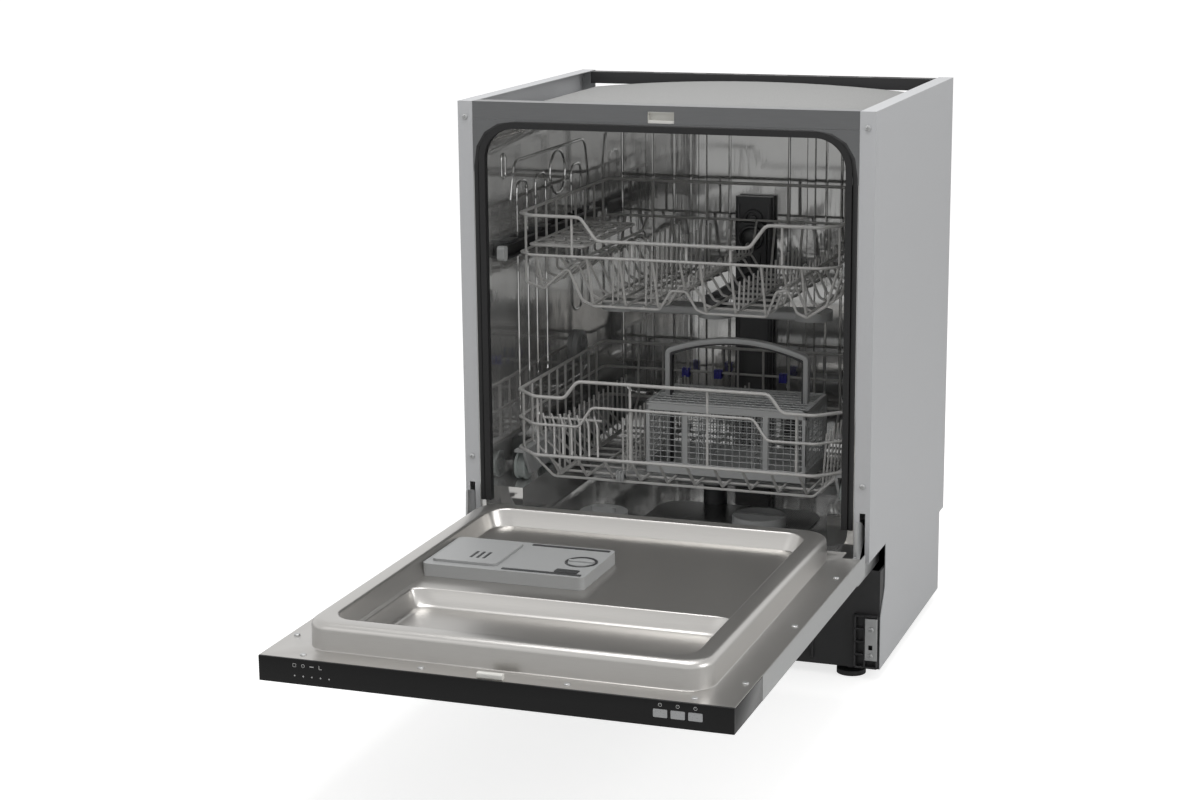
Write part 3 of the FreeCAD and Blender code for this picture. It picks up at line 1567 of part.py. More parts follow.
def cutlery():
    """The cutlery basket with barred walls, its slotted lid and the arched handle."""
    x_low = basket_x - basket_width / 2
    x_high = basket_x + basket_width / 2
    y_mid = front + S.cutlery_y
    y_low = y_mid - S.cutlery_depth / 2
    y_high = y_mid + S.cutlery_depth / 2
    low = basket_low
    high = low + S.cutlery_height
    wall = S.cutlery_wall
    outer = block((x_low, y_low, low), (x_high, y_high, high), S.cutlery_corner, "z", "cutlery_outer")
    inner = block(
        (x_low + wall, y_low + wall, low + wall),
        (x_high - wall, y_high - wall, high + S.overrun),
        S.cutlery_corner - wall,
        "z",
        "cutlery_inner",
    )
    windows = []
    levels = [
        low + S.cutlery_band,
        (low + high) / 2,
        high - S.cutlery_band + S.cutlery_bar,
    ]
    columns = 12
    for n in range(columns):
        pitch = (basket_width - S.cutlery_corner * 2) / columns
        start = x_low + S.cutlery_corner + pitch * n
        for below, above in zip(levels, levels[1:]):
            windows.append(
                box(
                    (start + S.cutlery_bar / 2, y_low - S.overrun, below),
                    (start + pitch - S.cutlery_bar / 2, y_high + S.overrun, above - S.cutlery_bar),
                )
            )
    columns = 6
    for n in range(columns):
        pitch = (S.cutlery_depth - S.cutlery_corner * 2) / columns
        start = y_low + S.cutlery_corner + pitch * n
        for below, above in zip(levels, levels[1:]):
            windows.append(
                box(
                    (x_low - S.overrun, start + S.cutlery_bar / 2, below),
                    (x_high + S.overrun, start + pitch - S.cutlery_bar / 2, above - S.cutlery_bar),
                )
            )
    keep("cutlery_basket", cut(outer, [inner] + windows))

    lid_low = high + S.seat_gap / 3
    lid_high = lid_low + S.lid_sheet
    bars = []
    for x in spread(11, x_low + S.cutlery_corner, x_high - S.cutlery_corner):
        bars.append(
            box(
                (x - S.lid_bar / 2, y_low + S.cutlery_corner - S.lid_bar / 2, lid_low),
                (x + S.lid_bar / 2, y_high - S.cutlery_corner + S.lid_bar / 2, lid_high),
            )
        )
    for y in spread(6, y_low + S.cutlery_corner, y_high - S.cutlery_corner):
        bars.append(
            box(
                (x_low + S.cutlery_corner - S.lid_bar / 2, y - S.lid_bar / 2, lid_low),
                (x_high - S.cutlery_corner + S.lid_bar / 2, y + S.lid_bar / 2, lid_high),
            )
        )
    for side in (-1, 1):
        edge_x = basket_x + (basket_width - S.cutlery_corner) / 2 * side
        edge_y = y_mid + (S.cutlery_depth - S.cutlery_corner) / 2 * side
        bars.append(
            box(
                (edge_x - S.cutlery_corner / 2, y_low, lid_low),
                (edge_x + S.cutlery_corner / 2, y_high, lid_high),
            )
        )
        bars.append(
            box(
                (x_low, edge_y - S.cutlery_corner / 2, lid_low),
                (x_high, edge_y + S.cutlery_corner / 2, lid_high),
            )
        )
    keep("cutlery_lid", group(bars))

    leg_x = basket_width / 2 - S.handle_inset
    foot = low + wall + S.seat_gap / 3
    shoulder = lid_low + S.lid_sheet + S.handle_height - S.handle_crown
    outer_x = leg_x + S.handle_thickness / 2
    inner_x = leg_x - S.handle_thickness / 2
    mid_x = outer_x / 2
    outline = [
        (basket_x - outer_x, foot),
        (basket_x - inner_x, foot),
        (basket_x - inner_x, shoulder - S.handle_thickness),
        (basket_x - mid_x, shoulder + S.handle_crown * BOW_SHARE - S.handle_thickness),
        (basket_x, shoulder + S.handle_crown - S.handle_thickness),
        (basket_x + mid_x, shoulder + S.handle_crown * BOW_SHARE - S.handle_thickness),
        (basket_x + inner_x, shoulder - S.handle_thickness),
        (basket_x + inner_x, foot),
        (basket_x + outer_x, foot),
        (basket_x + outer_x, shoulder),
        (basket_x + mid_x, shoulder + S.handle_crown * BOW_SHARE),
        (basket_x, shoulder + S.handle_crown),
        (basket_x - mid_x, shoulder + S.handle_crown * BOW_SHARE),
        (basket_x - outer_x, shoulder),
    ]
    keep(
        "cutlery_handle",
        prism("xz", outline, y_mid - S.handle_width / 2, y_mid + S.handle_width / 2, "handle"),
    )


def upper_rack():
    """The upper rack with a dipped front, its runners, roller blocks, feed pipe and folding cup shelf."""
    y_low = rack_front + S.wire
    y_high = rack_back - S.wire
    half_x = upper_half
    floor = upper_floor
    rim = floor + S.upper_rim_lift
    belt = floor + S.upper_belt_lift
    corner = S.rack_corner / 2
    rails = [
        hoop(rack_loop(half_x, y_low, y_high, rim, -S.upper_dip, dip_half), corner, S.rim_wire),
        hoop(rack_loop(half_x, y_low, y_high, belt, None, None), corner, S.wire),
    ]
    dipped = rim - S.upper_dip

    def front_rim(x):
        return dipped if abs(x) < float(dip_half) else rim

    bed = half_x - S.upper_floor_inset
    wires = basket_grid(half_x, y_low, y_high, bed, (floor, belt, rim, front_rim), (9, 8))
    bend = S.rack_bend
    lift = floor + S.wire * WELD_SHARE
    rows = []
    for x_share in UPPER_ROW_SHARES:
        rows += tine_row(half_x * x_share, y_low + bend, y_high - bend, lift, S.upper_tine_height)
    runner_low = belt - S.runner_height / 2
    hangers = []
    for y_share in HANGER_SHARES:
        y = y_low + (y_high - y_low) * y_share
        for side in (-1, 1):
            inner_end = vec((half_x - S.wire) * side, y, belt)
            outer_end = vec((runner_x + S.hanger_wheel_width) * side, y, belt)
            hangers.append(straight(inner_end, outer_end, S.hanger_radius * 2))
            wheel_start = vec(runner_x * side, y, belt)
            wheel_radius = S.runner_height / 2 - S.runner_wall - S.seat_gap
            hangers.append(straight(wheel_start, outer_end, wheel_radius * 2))
    keep("upper_rack", made(Part.makeCompound(rails + wires + rows + hangers), "upper_rack_wire"))

    cap_front = front + S.runner_setback
    runner_front = cap_front + S.runner_cap
    runner_back = tub_back - S.runner_back_gap
    outer = box(
        (runner_x - S.slide_gap, runner_front, runner_low),
        (runner_x - S.slide_gap + S.runner_thickness, runner_back, runner_low + S.runner_height),
    )
    channel = box(
        (runner_x - S.overrun, runner_front - S.overrun, runner_low + S.runner_wall),
        (
            runner_x - S.slide_gap + S.runner_thickness - S.runner_wall,
            runner_back + S.overrun,
            runner_low + S.runner_height - S.runner_wall,
        ),
    )
    keep("upper_runners", pair(cut(outer, [channel])))
    runner_cap = block(
        (runner_x - S.slide_gap - S.runner_cap_lip, cap_front, runner_low - S.runner_cap_lip),
        (
            runner_x - S.slide_gap + S.runner_thickness + S.runner_cap_lip,
            runner_front - S.seat_gap / 3,
            runner_low + S.runner_height + S.runner_cap_lip,
        ),
        S.runner_thickness / 2,
        "x",
        "runner_cap",
    )
    keep("runner_caps", pair(runner_cap))

    blocks = []
    face = runner_x - S.slide_gap + S.runner_thickness + S.slide_gap
    for y_share in ROLLER_SHARES:
        y = y_low + (y_high - y_low) * y_share
        block_high = runner_low + S.runner_height + S.roller_block_lip
        body = box(
            (runner_x + S.runner_thickness / 2, y, runner_low - S.roller_block_lip),
            (tub_half - S.seat_gap / 3, y + S.roller_block_length, block_high),
        )
        way = box(
            (runner_x - S.overrun, y - S.overrun, runner_low - S.slide_gap),
            (face, y + S.roller_block_length + S.overrun, runner_low + S.runner_height + S.slide_gap),
        )
        one = cut(body, [way])
        blocks += [one, mirror(one)]
    keep("rail_rollers", group(blocks))

    middle_y = front + S.hub_y
    pipe_z = floor - S.wire / 2 - S.pipe_radius - S.seat_gap
    duct_face = tub_back - S.rib_depth - S.seat_gap - S.duct_thickness
    dock_back = duct_face - S.seat_gap
    dock_low = pipe_z - S.pipe_radius - S.dock_skirt
    elbow_low = pipe_z - S.pipe_radius - S.elbow_skirt
    dock = block(
        (-S.dock_width / 2, dock_back - S.dock_depth, dock_low),
        (S.dock_width / 2, dock_back, dock_low + S.dock_height),
        S.dock_width / 5,
        "y",
        "dock",
    )
    pipe = rod((Size.of(0), middle_y, pipe_z), "y", S.pipe_radius, dock_back - S.dock_depth / 2 - middle_y)
    elbow = rod((Size.of(0), middle_y, elbow_low), "z", S.hub_radius, S.pipe_radius * 3 / 2)
    stub = rod(
        (Size.of(0), middle_y, elbow_low - S.hub_stub_height),
        "z",
        S.hub_stub_radius,
        S.hub_stub_height + S.pipe_radius,
    )
    keep("upper_feed_pipe", fuse([dock, pipe, elbow, stub]))
    arm_low = elbow_low - S.seat_gap - S.arm_thickness
    spray_arm("upper_spray_arm", (Size.of(0), middle_y), S.upper_arm_reach, arm_low, hung=True)

    shelf_x = -half_x + S.wire * (1 + WELD_SHARE) + S.slide_gap
    shelf_z = floor + S.shelf_lift
    shelf_low = y_low + S.rack_corner
    shelf_high = shelf_low + S.shelf_length
    outline = [
        vec(shelf_x, shelf_low, shelf_z),
        vec(shelf_x + S.shelf_width, shelf_low, shelf_z),
        vec(shelf_x + S.shelf_width, shelf_high, shelf_z),
        vec(shelf_x, shelf_high, shelf_z),
    ]
    shelf = [hoop(outline, S.wire * 2, S.wire)]
    for y in spread(7, shelf_low + S.shelf_length / 8, shelf_high - S.shelf_length / 8):
        shelf.append(
            straight(
                vec(shelf_x, y, shelf_z - S.wire / 2),
                vec(shelf_x + S.shelf_width, y, shelf_z - S.wire / 2),
                S.tine_wire,
            )
        )
    keep("cup_shelf", made(Part.makeCompound(shelf), "shelf"))


write_sheet()
side_panels()
cross_rails()
tub()
base()
water_parts()
lower_arm_low = S.tub_floor + S.seat_gap * 2 + S.hub_height
spray_arm("lower_spray_arm", (Size.of(0), front + S.hub_y), S.lower_arm_reach, lower_arm_low)
tub_fittings()
door_shells()
door_fittings()
hinges()
lower_rack()
cutlery()
upper_rack()

doc.recompute()
faults = [o.Name for o in doc.Objects if "Invalid" in o.State or "Error" in o.State]
for label, piece in PIECES.items():
    if piece.Shape.isNull() or not piece.Shape.isValid():
        faults.append(label)
if faults:
    raise RuntimeError(f"pieces that failed: {faults}")
os.makedirs("parts", exist_ok=True)
for label, piece in PIECES.items():
    piece.Shape.exportStep(f"parts/{label}.step")
    print(label, len(piece.Shape.Solids), round(piece.Shape.Volume / 1000, 1), "cm3")
print(len(PIECES), "pieces")
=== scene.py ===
"""Built-in dishwasher: the visible detail, finishes and studio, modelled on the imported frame."""
import json
import math

import bpy
from bpy.props import FloatProperty, FloatVectorProperty, PointerProperty
from mathutils import Matrix, Vector


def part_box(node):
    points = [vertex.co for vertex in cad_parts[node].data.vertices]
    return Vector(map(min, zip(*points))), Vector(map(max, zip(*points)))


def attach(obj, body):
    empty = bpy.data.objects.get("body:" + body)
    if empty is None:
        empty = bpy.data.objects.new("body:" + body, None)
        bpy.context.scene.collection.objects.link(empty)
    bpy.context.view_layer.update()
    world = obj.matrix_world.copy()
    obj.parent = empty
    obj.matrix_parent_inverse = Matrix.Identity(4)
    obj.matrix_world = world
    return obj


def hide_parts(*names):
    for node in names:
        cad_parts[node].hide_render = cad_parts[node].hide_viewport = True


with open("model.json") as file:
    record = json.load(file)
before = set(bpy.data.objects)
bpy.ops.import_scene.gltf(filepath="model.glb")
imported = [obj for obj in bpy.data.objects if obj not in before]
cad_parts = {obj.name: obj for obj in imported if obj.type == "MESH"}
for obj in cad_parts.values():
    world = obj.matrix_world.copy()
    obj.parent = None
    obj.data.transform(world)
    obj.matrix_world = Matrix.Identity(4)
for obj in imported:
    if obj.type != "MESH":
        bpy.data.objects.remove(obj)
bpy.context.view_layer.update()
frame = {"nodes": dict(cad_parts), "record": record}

bl_info = {
    "name": "Dishwasher Dresser",
    "version": (1, 0, 0),
    "blender": (4, 5, 0),
    "location": "View3D > Sidebar > Dishwasher",
    "description": "Models the visible detail and finishes of a built-in dishwasher",
    "category": "Object",
}

# Lengths are written in millimetres and the scene is in metres.
MM = 0.001
# Edges that turn more than this stay crisp, on CAD pieces and on new ones.
CAD_CRISP, NEW_CRISP = math.radians(30), math.radians(35)
# A swept bar's edges are softened where they turn more than this.
SOFT_FROM = math.radians(50)
# Welded wires sink into each other: the distance of their lines as a share of the diameter.
WELD = 0.85
# Bent wires: a corner flatter than this is left alone, and an arc has one step for each of these turns.
STRAIGHT, ARC_STEP = math.radians(176), math.radians(20)
# A bend takes up less than half of each leg beside it.
LEG_SHARE = 0.48
# Most of a noise lies between these values, and no finish is smoother than this.
NOISE_REACH, SMOOTHEST = (0.3, 0.7), 0.02


def linear(code):
    """A hex colour as linear red, green and blue."""
    values = []
    for start in (1, 3, 5):
        value = int(code[start:start + 2], 16) / 255
        values.append(value / 12.92 if value <= 0.04045 else ((value + 0.055) / 1.055) ** 2.4)
    return tuple(values)


def colour(name, code, description):
    """A colour that a user may change."""
    return FloatVectorProperty(
        name=name, description=description, subtype="COLOR", size=3, min=0.0, max=1.0, default=linear(code)
    )


def length(name, millimetres, description):
    """A length that a user may change."""
    return FloatProperty(
        name=name, description=description, unit="LENGTH", min=0.0, default=millimetres * MM, precision=4
    )


class DishwasherColours(bpy.types.PropertyGroup):
    """The colours of the dishwasher's finishes."""

    panel: colour("Side panels", "#BCBDBF", "Silver-grey paint on the cabinet's sides")
    tub: colour("Tub", "#D2D2D1", "Bright stainless steel of the tub")
    liner: colour("Door liner", "#BBB9B6", "Satin stainless steel of the door's inside")
    zinc: colour("Zinc", "#B7B8B8", "Galvanised sheet of the hinges and the door's skin")
    rail: colour("Front rail", "#717273", "Satin steel of the rail over the tub's mouth")
    coating: colour("Wire coating", "#A8A7A5", "Nylon coating of the racks' wires")
    grey: colour("Grey mouldings", "#9B9C9C", "Grey polypropylene of the basket and dispenser")
    pale: colour("Pale mouldings", "#D6D5D0", "Pale acetal of the door catch and its hook")
    wheel: colour("Wheels", "#8E9492", "Acetal of the rack's wheels")
    dark: colour("Dark mouldings", "#38393A", "Dark grey plastic in the tub")
    black: colour("Black mouldings", "#2B2B2C", "Black polypropylene of the base")
    gloss: colour("Control strip", "#060607", "Polished black acrylic of the control strip")
    button: colour("Buttons", "#A9AAAB", "Silver-grey lacquer of the buttons")
    clip: colour("Clips", "#3C3B98", "Blue plastic of the tine clips")
    rubber: colour("Seals", "#0B0B0C", "Black rubber of the door seal")
    felt: colour("Felt", "#989897", "Grey damping felt over the tub")
    floor: colour("Floor", "#C2C2C1", "Plain pale studio floor and the strip's pale ink")


class DishwasherSizes(bpy.types.PropertyGroup):
    """The sizes of the dishwasher's visible detail."""

    wire: length("Wire", 4.0, "Diameter of the racks' wires")
    rail: length("Rail", 5.0, "Diameter of the racks' rims")
    tine: length("Tine", 3.2, "Diameter of the plate tines")
    bend: length("Bend", 9.0, "Inside radius of the wires' bends")
    tine_pitch: length("Tine pitch", 20.0, "Distance between neighbouring tines")
    mesh_bar: length("Basket bar", 2.1, "Thickness of the cutlery basket's bars")
    screw_head: length("Screw head", 8.0, "Diameter of the screws' heads")
    press: length("Pressing", 2.2, "Height of the pressed ridges on the tub's walls")


def sizes():
    return bpy.context.scene.dishwasher_sizes


def colours():
    return bpy.context.scene.dishwasher_colours


def gauges():
    """Diameters of wire, rail and tine and the usual bend, in millimetres."""
    s = sizes()
    return s.wire / MM, s.rail / MM, s.tine / MM, s.bend / MM


def span(node_name):
    """A CAD node's lowest and highest corners, in millimetres."""
    low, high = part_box(node_name)
    return low / MM, high / MM


def spread(count, low, high):
    """Evenly spaced values from low to high."""
    return [low + (high - low) * n / (count - 1) for n in range(count)]


def clear():
    """Leave nothing selected, in object mode."""
    if bpy.context.mode != "OBJECT":
        bpy.ops.object.mode_set(mode="OBJECT")
    bpy.ops.object.select_all(action="DESELECT")


def pick(obj):
    """Make one object the only one selected."""
    clear()
    obj.select_set(True)
    bpy.context.view_layer.objects.active = obj


def edit(obj):
    """Open a mesh in edit mode, with all of it selected."""
    pick(obj)
    bpy.ops.object.mode_set(mode="EDIT")
    bpy.ops.mesh.select_all(action="SELECT")


def settle(obj):
    """Put an object's place into its mesh."""
    pick(obj)
    bpy.ops.object.transform_apply(location=True, rotation=True, scale=True)
    return obj


def outward(obj):
    """Turn a mesh's faces outward."""
    edit(obj)
    bpy.ops.mesh.normals_make_consistent(inside=False)
    bpy.ops.object.mode_set(mode="OBJECT")
    return obj


def apply(obj, kind, **settings):
    """Add a modifier and apply it."""
    pick(obj)
    modifier = obj.modifiers.new(kind.title(), kind)
    for key, value in settings.items():
        setattr(modifier, key, value)
    bpy.ops.object.modifier_apply(modifier=modifier.name)
    return obj


def primitive(add, place, scale):
    """A cube or plane of side 1, put at its place and scaled, both in metres."""
    clear()
    add(size=1.0, location=place)
    obj = bpy.context.object
    obj.scale = scale
    return settle(obj)


def slab(low, high, edge=0.0, segments=2):
    """A box between two corners, in millimetres, with softened edges."""
    low, high = Vector(low), Vector(high)
    obj = primitive(bpy.ops.mesh.primitive_cube_add, (low + high) / 2 * MM, (high - low) * MM)
    if edge:
        apply(obj, "BEVEL", width=edge * MM, segments=segments, limit_method="NONE")
    return obj


def border(low, high, wall, edge, segments):
    """Four slabs round a rectangle, seen from above."""
    return [
        slab(low, (high[0], low[1] + wall, high[2]), edge, segments),
        slab((low[0], high[1] - wall, low[2]), high, edge, segments),
        slab(low, (low[0] + wall, high[1], high[2]), edge, segments),
        slab((high[0] - wall, low[1], low[2]), high, edge, segments),
    ]


def turned(start, axis, rings, sides=32):
    """A round piece along an axis: a disc, extruded and scaled ring by ring to (offset, radius)."""
    clear()
    offset, radius = rings[0]
    bpy.ops.mesh.primitive_circle_add(
        vertices=sides, radius=radius * MM, fill_type="NGON", location=(0, 0, offset * MM)
    )
    obj = settle(bpy.context.object)
    edit(obj)
    for before, ring in zip(rings, rings[1:]):
        rise = (0, 0, (ring[0] - before[0]) * MM)
        bpy.ops.mesh.extrude_region_move(TRANSFORM_OT_translate={"value": rise})
        share = ring[1] / before[1]
        bpy.ops.transform.resize(value=(share, share, 1.0), center_override=(0, 0, ring[0] * MM))
    outward(obj)
    quarter = math.pi / 2
    obj.rotation_euler = {"x": (0, quarter, 0), "y": (-quarter, 0, 0), "z": (0, 0, 0)}[axis]
    obj.location = Vector(start) * MM
    return settle(obj)


def join(objs):
    """One object of several."""
    clear()
    for obj in objs:
        obj.select_set(True)
    bpy.context.view_layer.objects.active = objs[0]
    if len(objs) > 1:
        bpy.ops.object.join()
    return objs[0]


def copy(obj, move=(0, 0, 0), flip=False):
    """A copy with its own mesh, moved in millimetres, or mirrored across the middle plane."""
    twin = obj.copy()
    twin.data = obj.data.copy()
    bpy.context.scene.collection.objects.link(twin)
    twin.location = Vector(move) * MM
    settle(twin)
    if flip:
        twin.scale = (-1, 1, 1)
        outward(settle(twin))
    return twin


def spokes(bar, count, centre):
    """Copies of a bar, turned round the x axis and moved to a centre. The bar itself is used up."""
    made = []
    for n in range(count):
        spoke = copy(bar)
        spoke.rotation_euler = (math.tau * n / count, 0, 0)
        spoke.location = Vector(centre) * MM
        made.append(settle(spoke))
    bpy.data.objects.remove(bar)
    return made


def rounded(points, radius, closed):
    """A line's points with each corner turned into an arc, in millimetres."""
    points = [Vector(p) for p in points]
    count = len(points)
    line = []
    for n, here in enumerate(points):
        if not closed and n in (0, count - 1):
            line.append(here)
            continue
        back, ahead = points[n - 1] - here, points[(n + 1) % count] - here
        angle = back.angle(ahead)
        if angle > STRAIGHT:
            line.append(here)
            continue
        reach = min(radius / math.tan(angle / 2), back.length * LEG_SHARE, ahead.length * LEG_SHARE)
        start, end = here + back.normalized() * reach, here + ahead.normalized() * reach
        steps = max(2, round((math.pi - angle) / ARC_STEP))
        for step in range(steps + 1):
            share = step / steps
            line.append(start * (1 - share) ** 2 + here * 2 * share * (1 - share) + end * share ** 2)
    return line


class Runs(list):
    """Runs of bent wire, each (points, diameter, bend radius, closed), with a usual diameter and bend."""

    def __init__(self, diameter, bend):
        super().__init__()
        self.diameter, self.bend = diameter, bend

    def add(self, *points, thick=None, bend=None, closed=False):
        self.append((points, thick or self.diameter, bend or self.bend, closed))


def wires(runs, sides=2):
    """Bent wires as one mesh. Curves give a wire's bends, which mesh operators can't."""
    groups = {}
    for points, diameter, bend, closed in runs:
        groups.setdefault(diameter, []).append((points, bend, closed))
    made = []
    for diameter, members in groups.items():
        curve = bpy.data.curves.new("wire", "CURVE")
        curve.dimensions = "3D"
        curve.bevel_depth = diameter / 2 * MM
        curve.bevel_resolution = sides
        curve.use_fill_caps = True
        for points, bend, closed in members:
            line = rounded(points, bend, closed)
            spline = curve.splines.new("POLY")
            spline.points.add(len(line) - 1)
            spline.use_cyclic_u = closed
            for point, place in zip(spline.points, line):
                point.co = (*(place * MM), 1.0)
        obj = bpy.data.objects.new("wire", curve)
        bpy.context.scene.collection.objects.link(obj)
        pick(obj)
        bpy.ops.object.convert(target="MESH")
        made.append(bpy.context.object)
    return join(made)


def ring_points(centre, radius, count):
    """Points round a circle in a plane."""
    turns = [math.tau * n / count for n in range(count)]
    return [(centre[0] + radius * math.cos(turn), centre[1] + radius * math.sin(turn)) for turn in turns]


def cut(obj, tool):
    """Cut one object's shape out of another."""
    apply(obj, "BOOLEAN", object=tool, operation="DIFFERENCE")
    bpy.data.objects.remove(tool)


def swept(path, wide, deep, edge):
    """A flat bar bent over a bow: its end is extruded and turned from point to point of the path."""
    obj = primitive(bpy.ops.mesh.primitive_plane_add, path[0] * MM, (wide * MM, deep * MM, 1.0))
    edit(obj)
    facing = math.pi / 2
    for before, here, after in zip(path, path[1:], path[2:] + [path[-1] * 2 - path[-2]]):
        bpy.ops.mesh.extrude_region_move(TRANSFORM_OT_translate={"value": (here - before) * MM})
        along = (here - before).normalized() + (after - here).normalized()
        heading = math.atan2(along.z, along.x)
        bpy.ops.transform.rotate(value=heading - facing, orient_axis="Y", center_override=here * MM)
        facing = heading
    bevel = {"width": edge * MM, "segments": 2, "limit_method": "ANGLE", "angle_limit": SOFT_FROM}
    return apply(outward(obj), "BEVEL", **bevel)


def pressed(flange, level, blank, radius, rings):
    """A sheet pressed ring by ring from a round-cornered blank. Boxes and the flange are (x0, y0, x1, y1)."""

    def middle(box, height):
        return Vector(((box[0] + box[2]) / 2, (box[1] + box[3]) / 2, height)) * MM

    def size(box):
        return Vector((box[2] - box[0], box[3] - box[1], 1 / MM)) * MM

    obj = primitive(bpy.ops.mesh.primitive_plane_add, middle(blank, level), size(blank))
    edit(obj)
    bpy.ops.mesh.bevel(offset=radius * MM, segments=8, affect="VERTICES")
    bpy.ops.mesh.select_all(action="SELECT")
    box, height = blank, level
    for ring, lift in rings:
        move = middle(ring, lift) - middle(box, height)
        bpy.ops.mesh.extrude_region_move(TRANSFORM_OT_translate={"value": move})
        share = [after / before for after, before in zip(size(ring), size(box))]
        bpy.ops.transform.resize(value=share, center_override=middle(ring, lift))
        box, height = ring, lift
    # Open the blank's own face and join its edge to the flange's.
    bpy.ops.mesh.select_all(action="DESELECT")
    bpy.ops.object.mode_set(mode="OBJECT")
    for face in obj.data.polygons:
        face.select = len(face.vertices) > 4 and abs(face.center.z - level * MM) < 1e-6
    bpy.ops.object.mode_set(mode="EDIT")
    bpy.ops.mesh.delete(type="ONLY_FACE")
    bpy.ops.mesh.primitive_plane_add(size=1.0, location=middle(flange, level))
    bpy.ops.transform.resize(value=size(flange), center_override=middle(flange, level))
    bpy.ops.mesh.delete(type="ONLY_FACE")
    bpy.ops.mesh.select_mode(type="EDGE")
    bpy.ops.mesh.select_non_manifold(use_multi_face=False, use_non_contiguous=False, use_verts=False)
    bpy.ops.mesh.bridge_edge_loops()
    return outward(obj)


def lattice(corner, across, up, columns, rows, bar):
    """A barred wall: a grid turned into bars. across and up are its edges, in millimetres."""
    clear()
    bpy.ops.mesh.primitive_grid_add(x_subdivisions=columns, y_subdivisions=rows, size=1.0)
    obj = bpy.context.object
    across, up = Vector(across), Vector(up)
    place = Matrix((across * MM, up * MM, across.cross(up).normalized())).transposed().to_4x4()
    place.translation = (Vector(corner) + across / 2 + up / 2) * MM
    obj.data.transform(place)
    apply(obj, "WIREFRAME", thickness=bar * MM, use_even_offset=False, use_replace=True, use_boundary=True)
    return outward(obj)


MATERIALS = {}
SLOT_FINISHES = {
    "panel_paint": "painted_steel",
    "rail_steel": "galvanised_sheet",
    "dark_metal": "black_paint",
    "tub_steel": "bright_stainless",
    "liner_steel": "ground_stainless",
    "door_skin": "galvanised_sheet",
    "seal_rubber": "seal_rubber",
    "felt": "damping_felt",
    "base_plastic": "black_moulding",
    "dark_plastic": "dark_moulding",
    "arm_plastic": "grey_moulding",
    "filter_steel": "etched_filter",
    "gloss_black": "polished_acrylic",
    "button_grey": "lacquered_cap",
    "rack_coating": "coated_wire",
    "grey_plastic": "grey_moulding",
    "blue_plastic": "blue_moulding",
}
NODE_FINISHES = {
    "front_top_rail": "satin_steel",
    "latch_catch": "pale_moulding",
    "door_latch": "pale_moulding",
}


def dress(obj, look, crisp):
    """Give a mesh its finish and smooth all but its crisp edges."""
    obj.data.materials.clear()
    obj.data.materials.append(MATERIALS[look])
    pick(obj)
    bpy.ops.object.shade_smooth_by_angle(angle=crisp)


def finish(obj, name, body, slot, replaced=(), look=None):
    """Name a piece, give it its slot's finish or another look, and let it ride on its body."""
    obj.name = name
    obj.data.name = name
    dress(obj, look or SLOT_FINISHES[slot], NEW_CRISP)
    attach(obj, body)
    if replaced:
        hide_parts(*replaced)


def node(tree, kind, settings=None, values=None, **links):
    """Add a shader node with its settings, its sockets' values and its links."""
    item = tree.nodes.new(kind)
    for key, value in (settings or {}).items():
        setattr(item, key, value)
    for key, value in (values or {}).items():
        item.inputs[key].default_value = value
    for key, socket in links.items():
        tree.links.new(item.inputs[key.replace("_", " ")], socket)
    return item


def remap(tree, value, low, high, start=0.0, end=1.0):
    """A value's range from start to end, mapped to low to high."""
    values = {"From Min": start, "From Max": end, "To Min": low, "To Max": high}
    return node(tree, "ShaderNodeMapRange", None, values, Value=value).outputs["Result"]


def maths(tree, operation, first, second):
    """A maths node's result. Its second input is a socket or a number."""
    item = node(tree, "ShaderNodeMath", {"operation": operation})
    tree.links.new(item.inputs[0], first)
    if isinstance(second, float):
        item.inputs[1].default_value = second
    else:
        tree.links.new(item.inputs[1], second)
    return item.outputs["Value"]


def surface(
    name, tint, roughness, metallic=0.0, vary=0.05, grain=1.0, bump=0.0, stretch=(1, 1, 1), shade=0.05
):
    """A finish whose colour, roughness and relief vary over a grain, given in millimetres."""
    material = bpy.data.materials.new(name)
    material.use_nodes = True
    tree = material.node_tree
    shader = tree.nodes["Principled BSDF"]
    shader.inputs["Metallic"].default_value = metallic
    place = node(tree, "ShaderNodeTexCoord")
    mapping = node(tree, "ShaderNodeMapping", None, {"Scale": stretch}, Vector=place.outputs["Object"])
    texture = {"Scale": 1 / (grain * MM), "Detail": 4.0, "Roughness": 0.6}
    noise = node(tree, "ShaderNodeTexNoise", None, texture, Vector=mapping.outputs["Vector"])
    height = noise.outputs["Fac"]
    tone = remap(tree, height, 1 - shade, 1 + shade, *NOISE_REACH)
    tinted = node(tree, "ShaderNodeVectorMath", {"operation": "SCALE"}, {0: (*tint,)}, Scale=tone)
    tree.links.new(shader.inputs["Base Color"], tinted.outputs["Vector"])
    sheen = remap(tree, height, max(roughness - vary, SMOOTHEST), roughness + vary, *NOISE_REACH)
    tree.links.new(shader.inputs["Roughness"], sheen)
    if bump:
        relief = node(tree, "ShaderNodeBump", None, {"Strength": 1.0, "Distance": bump * MM}, Height=height)
        tree.links.new(shader.inputs["Normal"], relief.outputs["Normal"])
    MATERIALS[name] = material
    return material


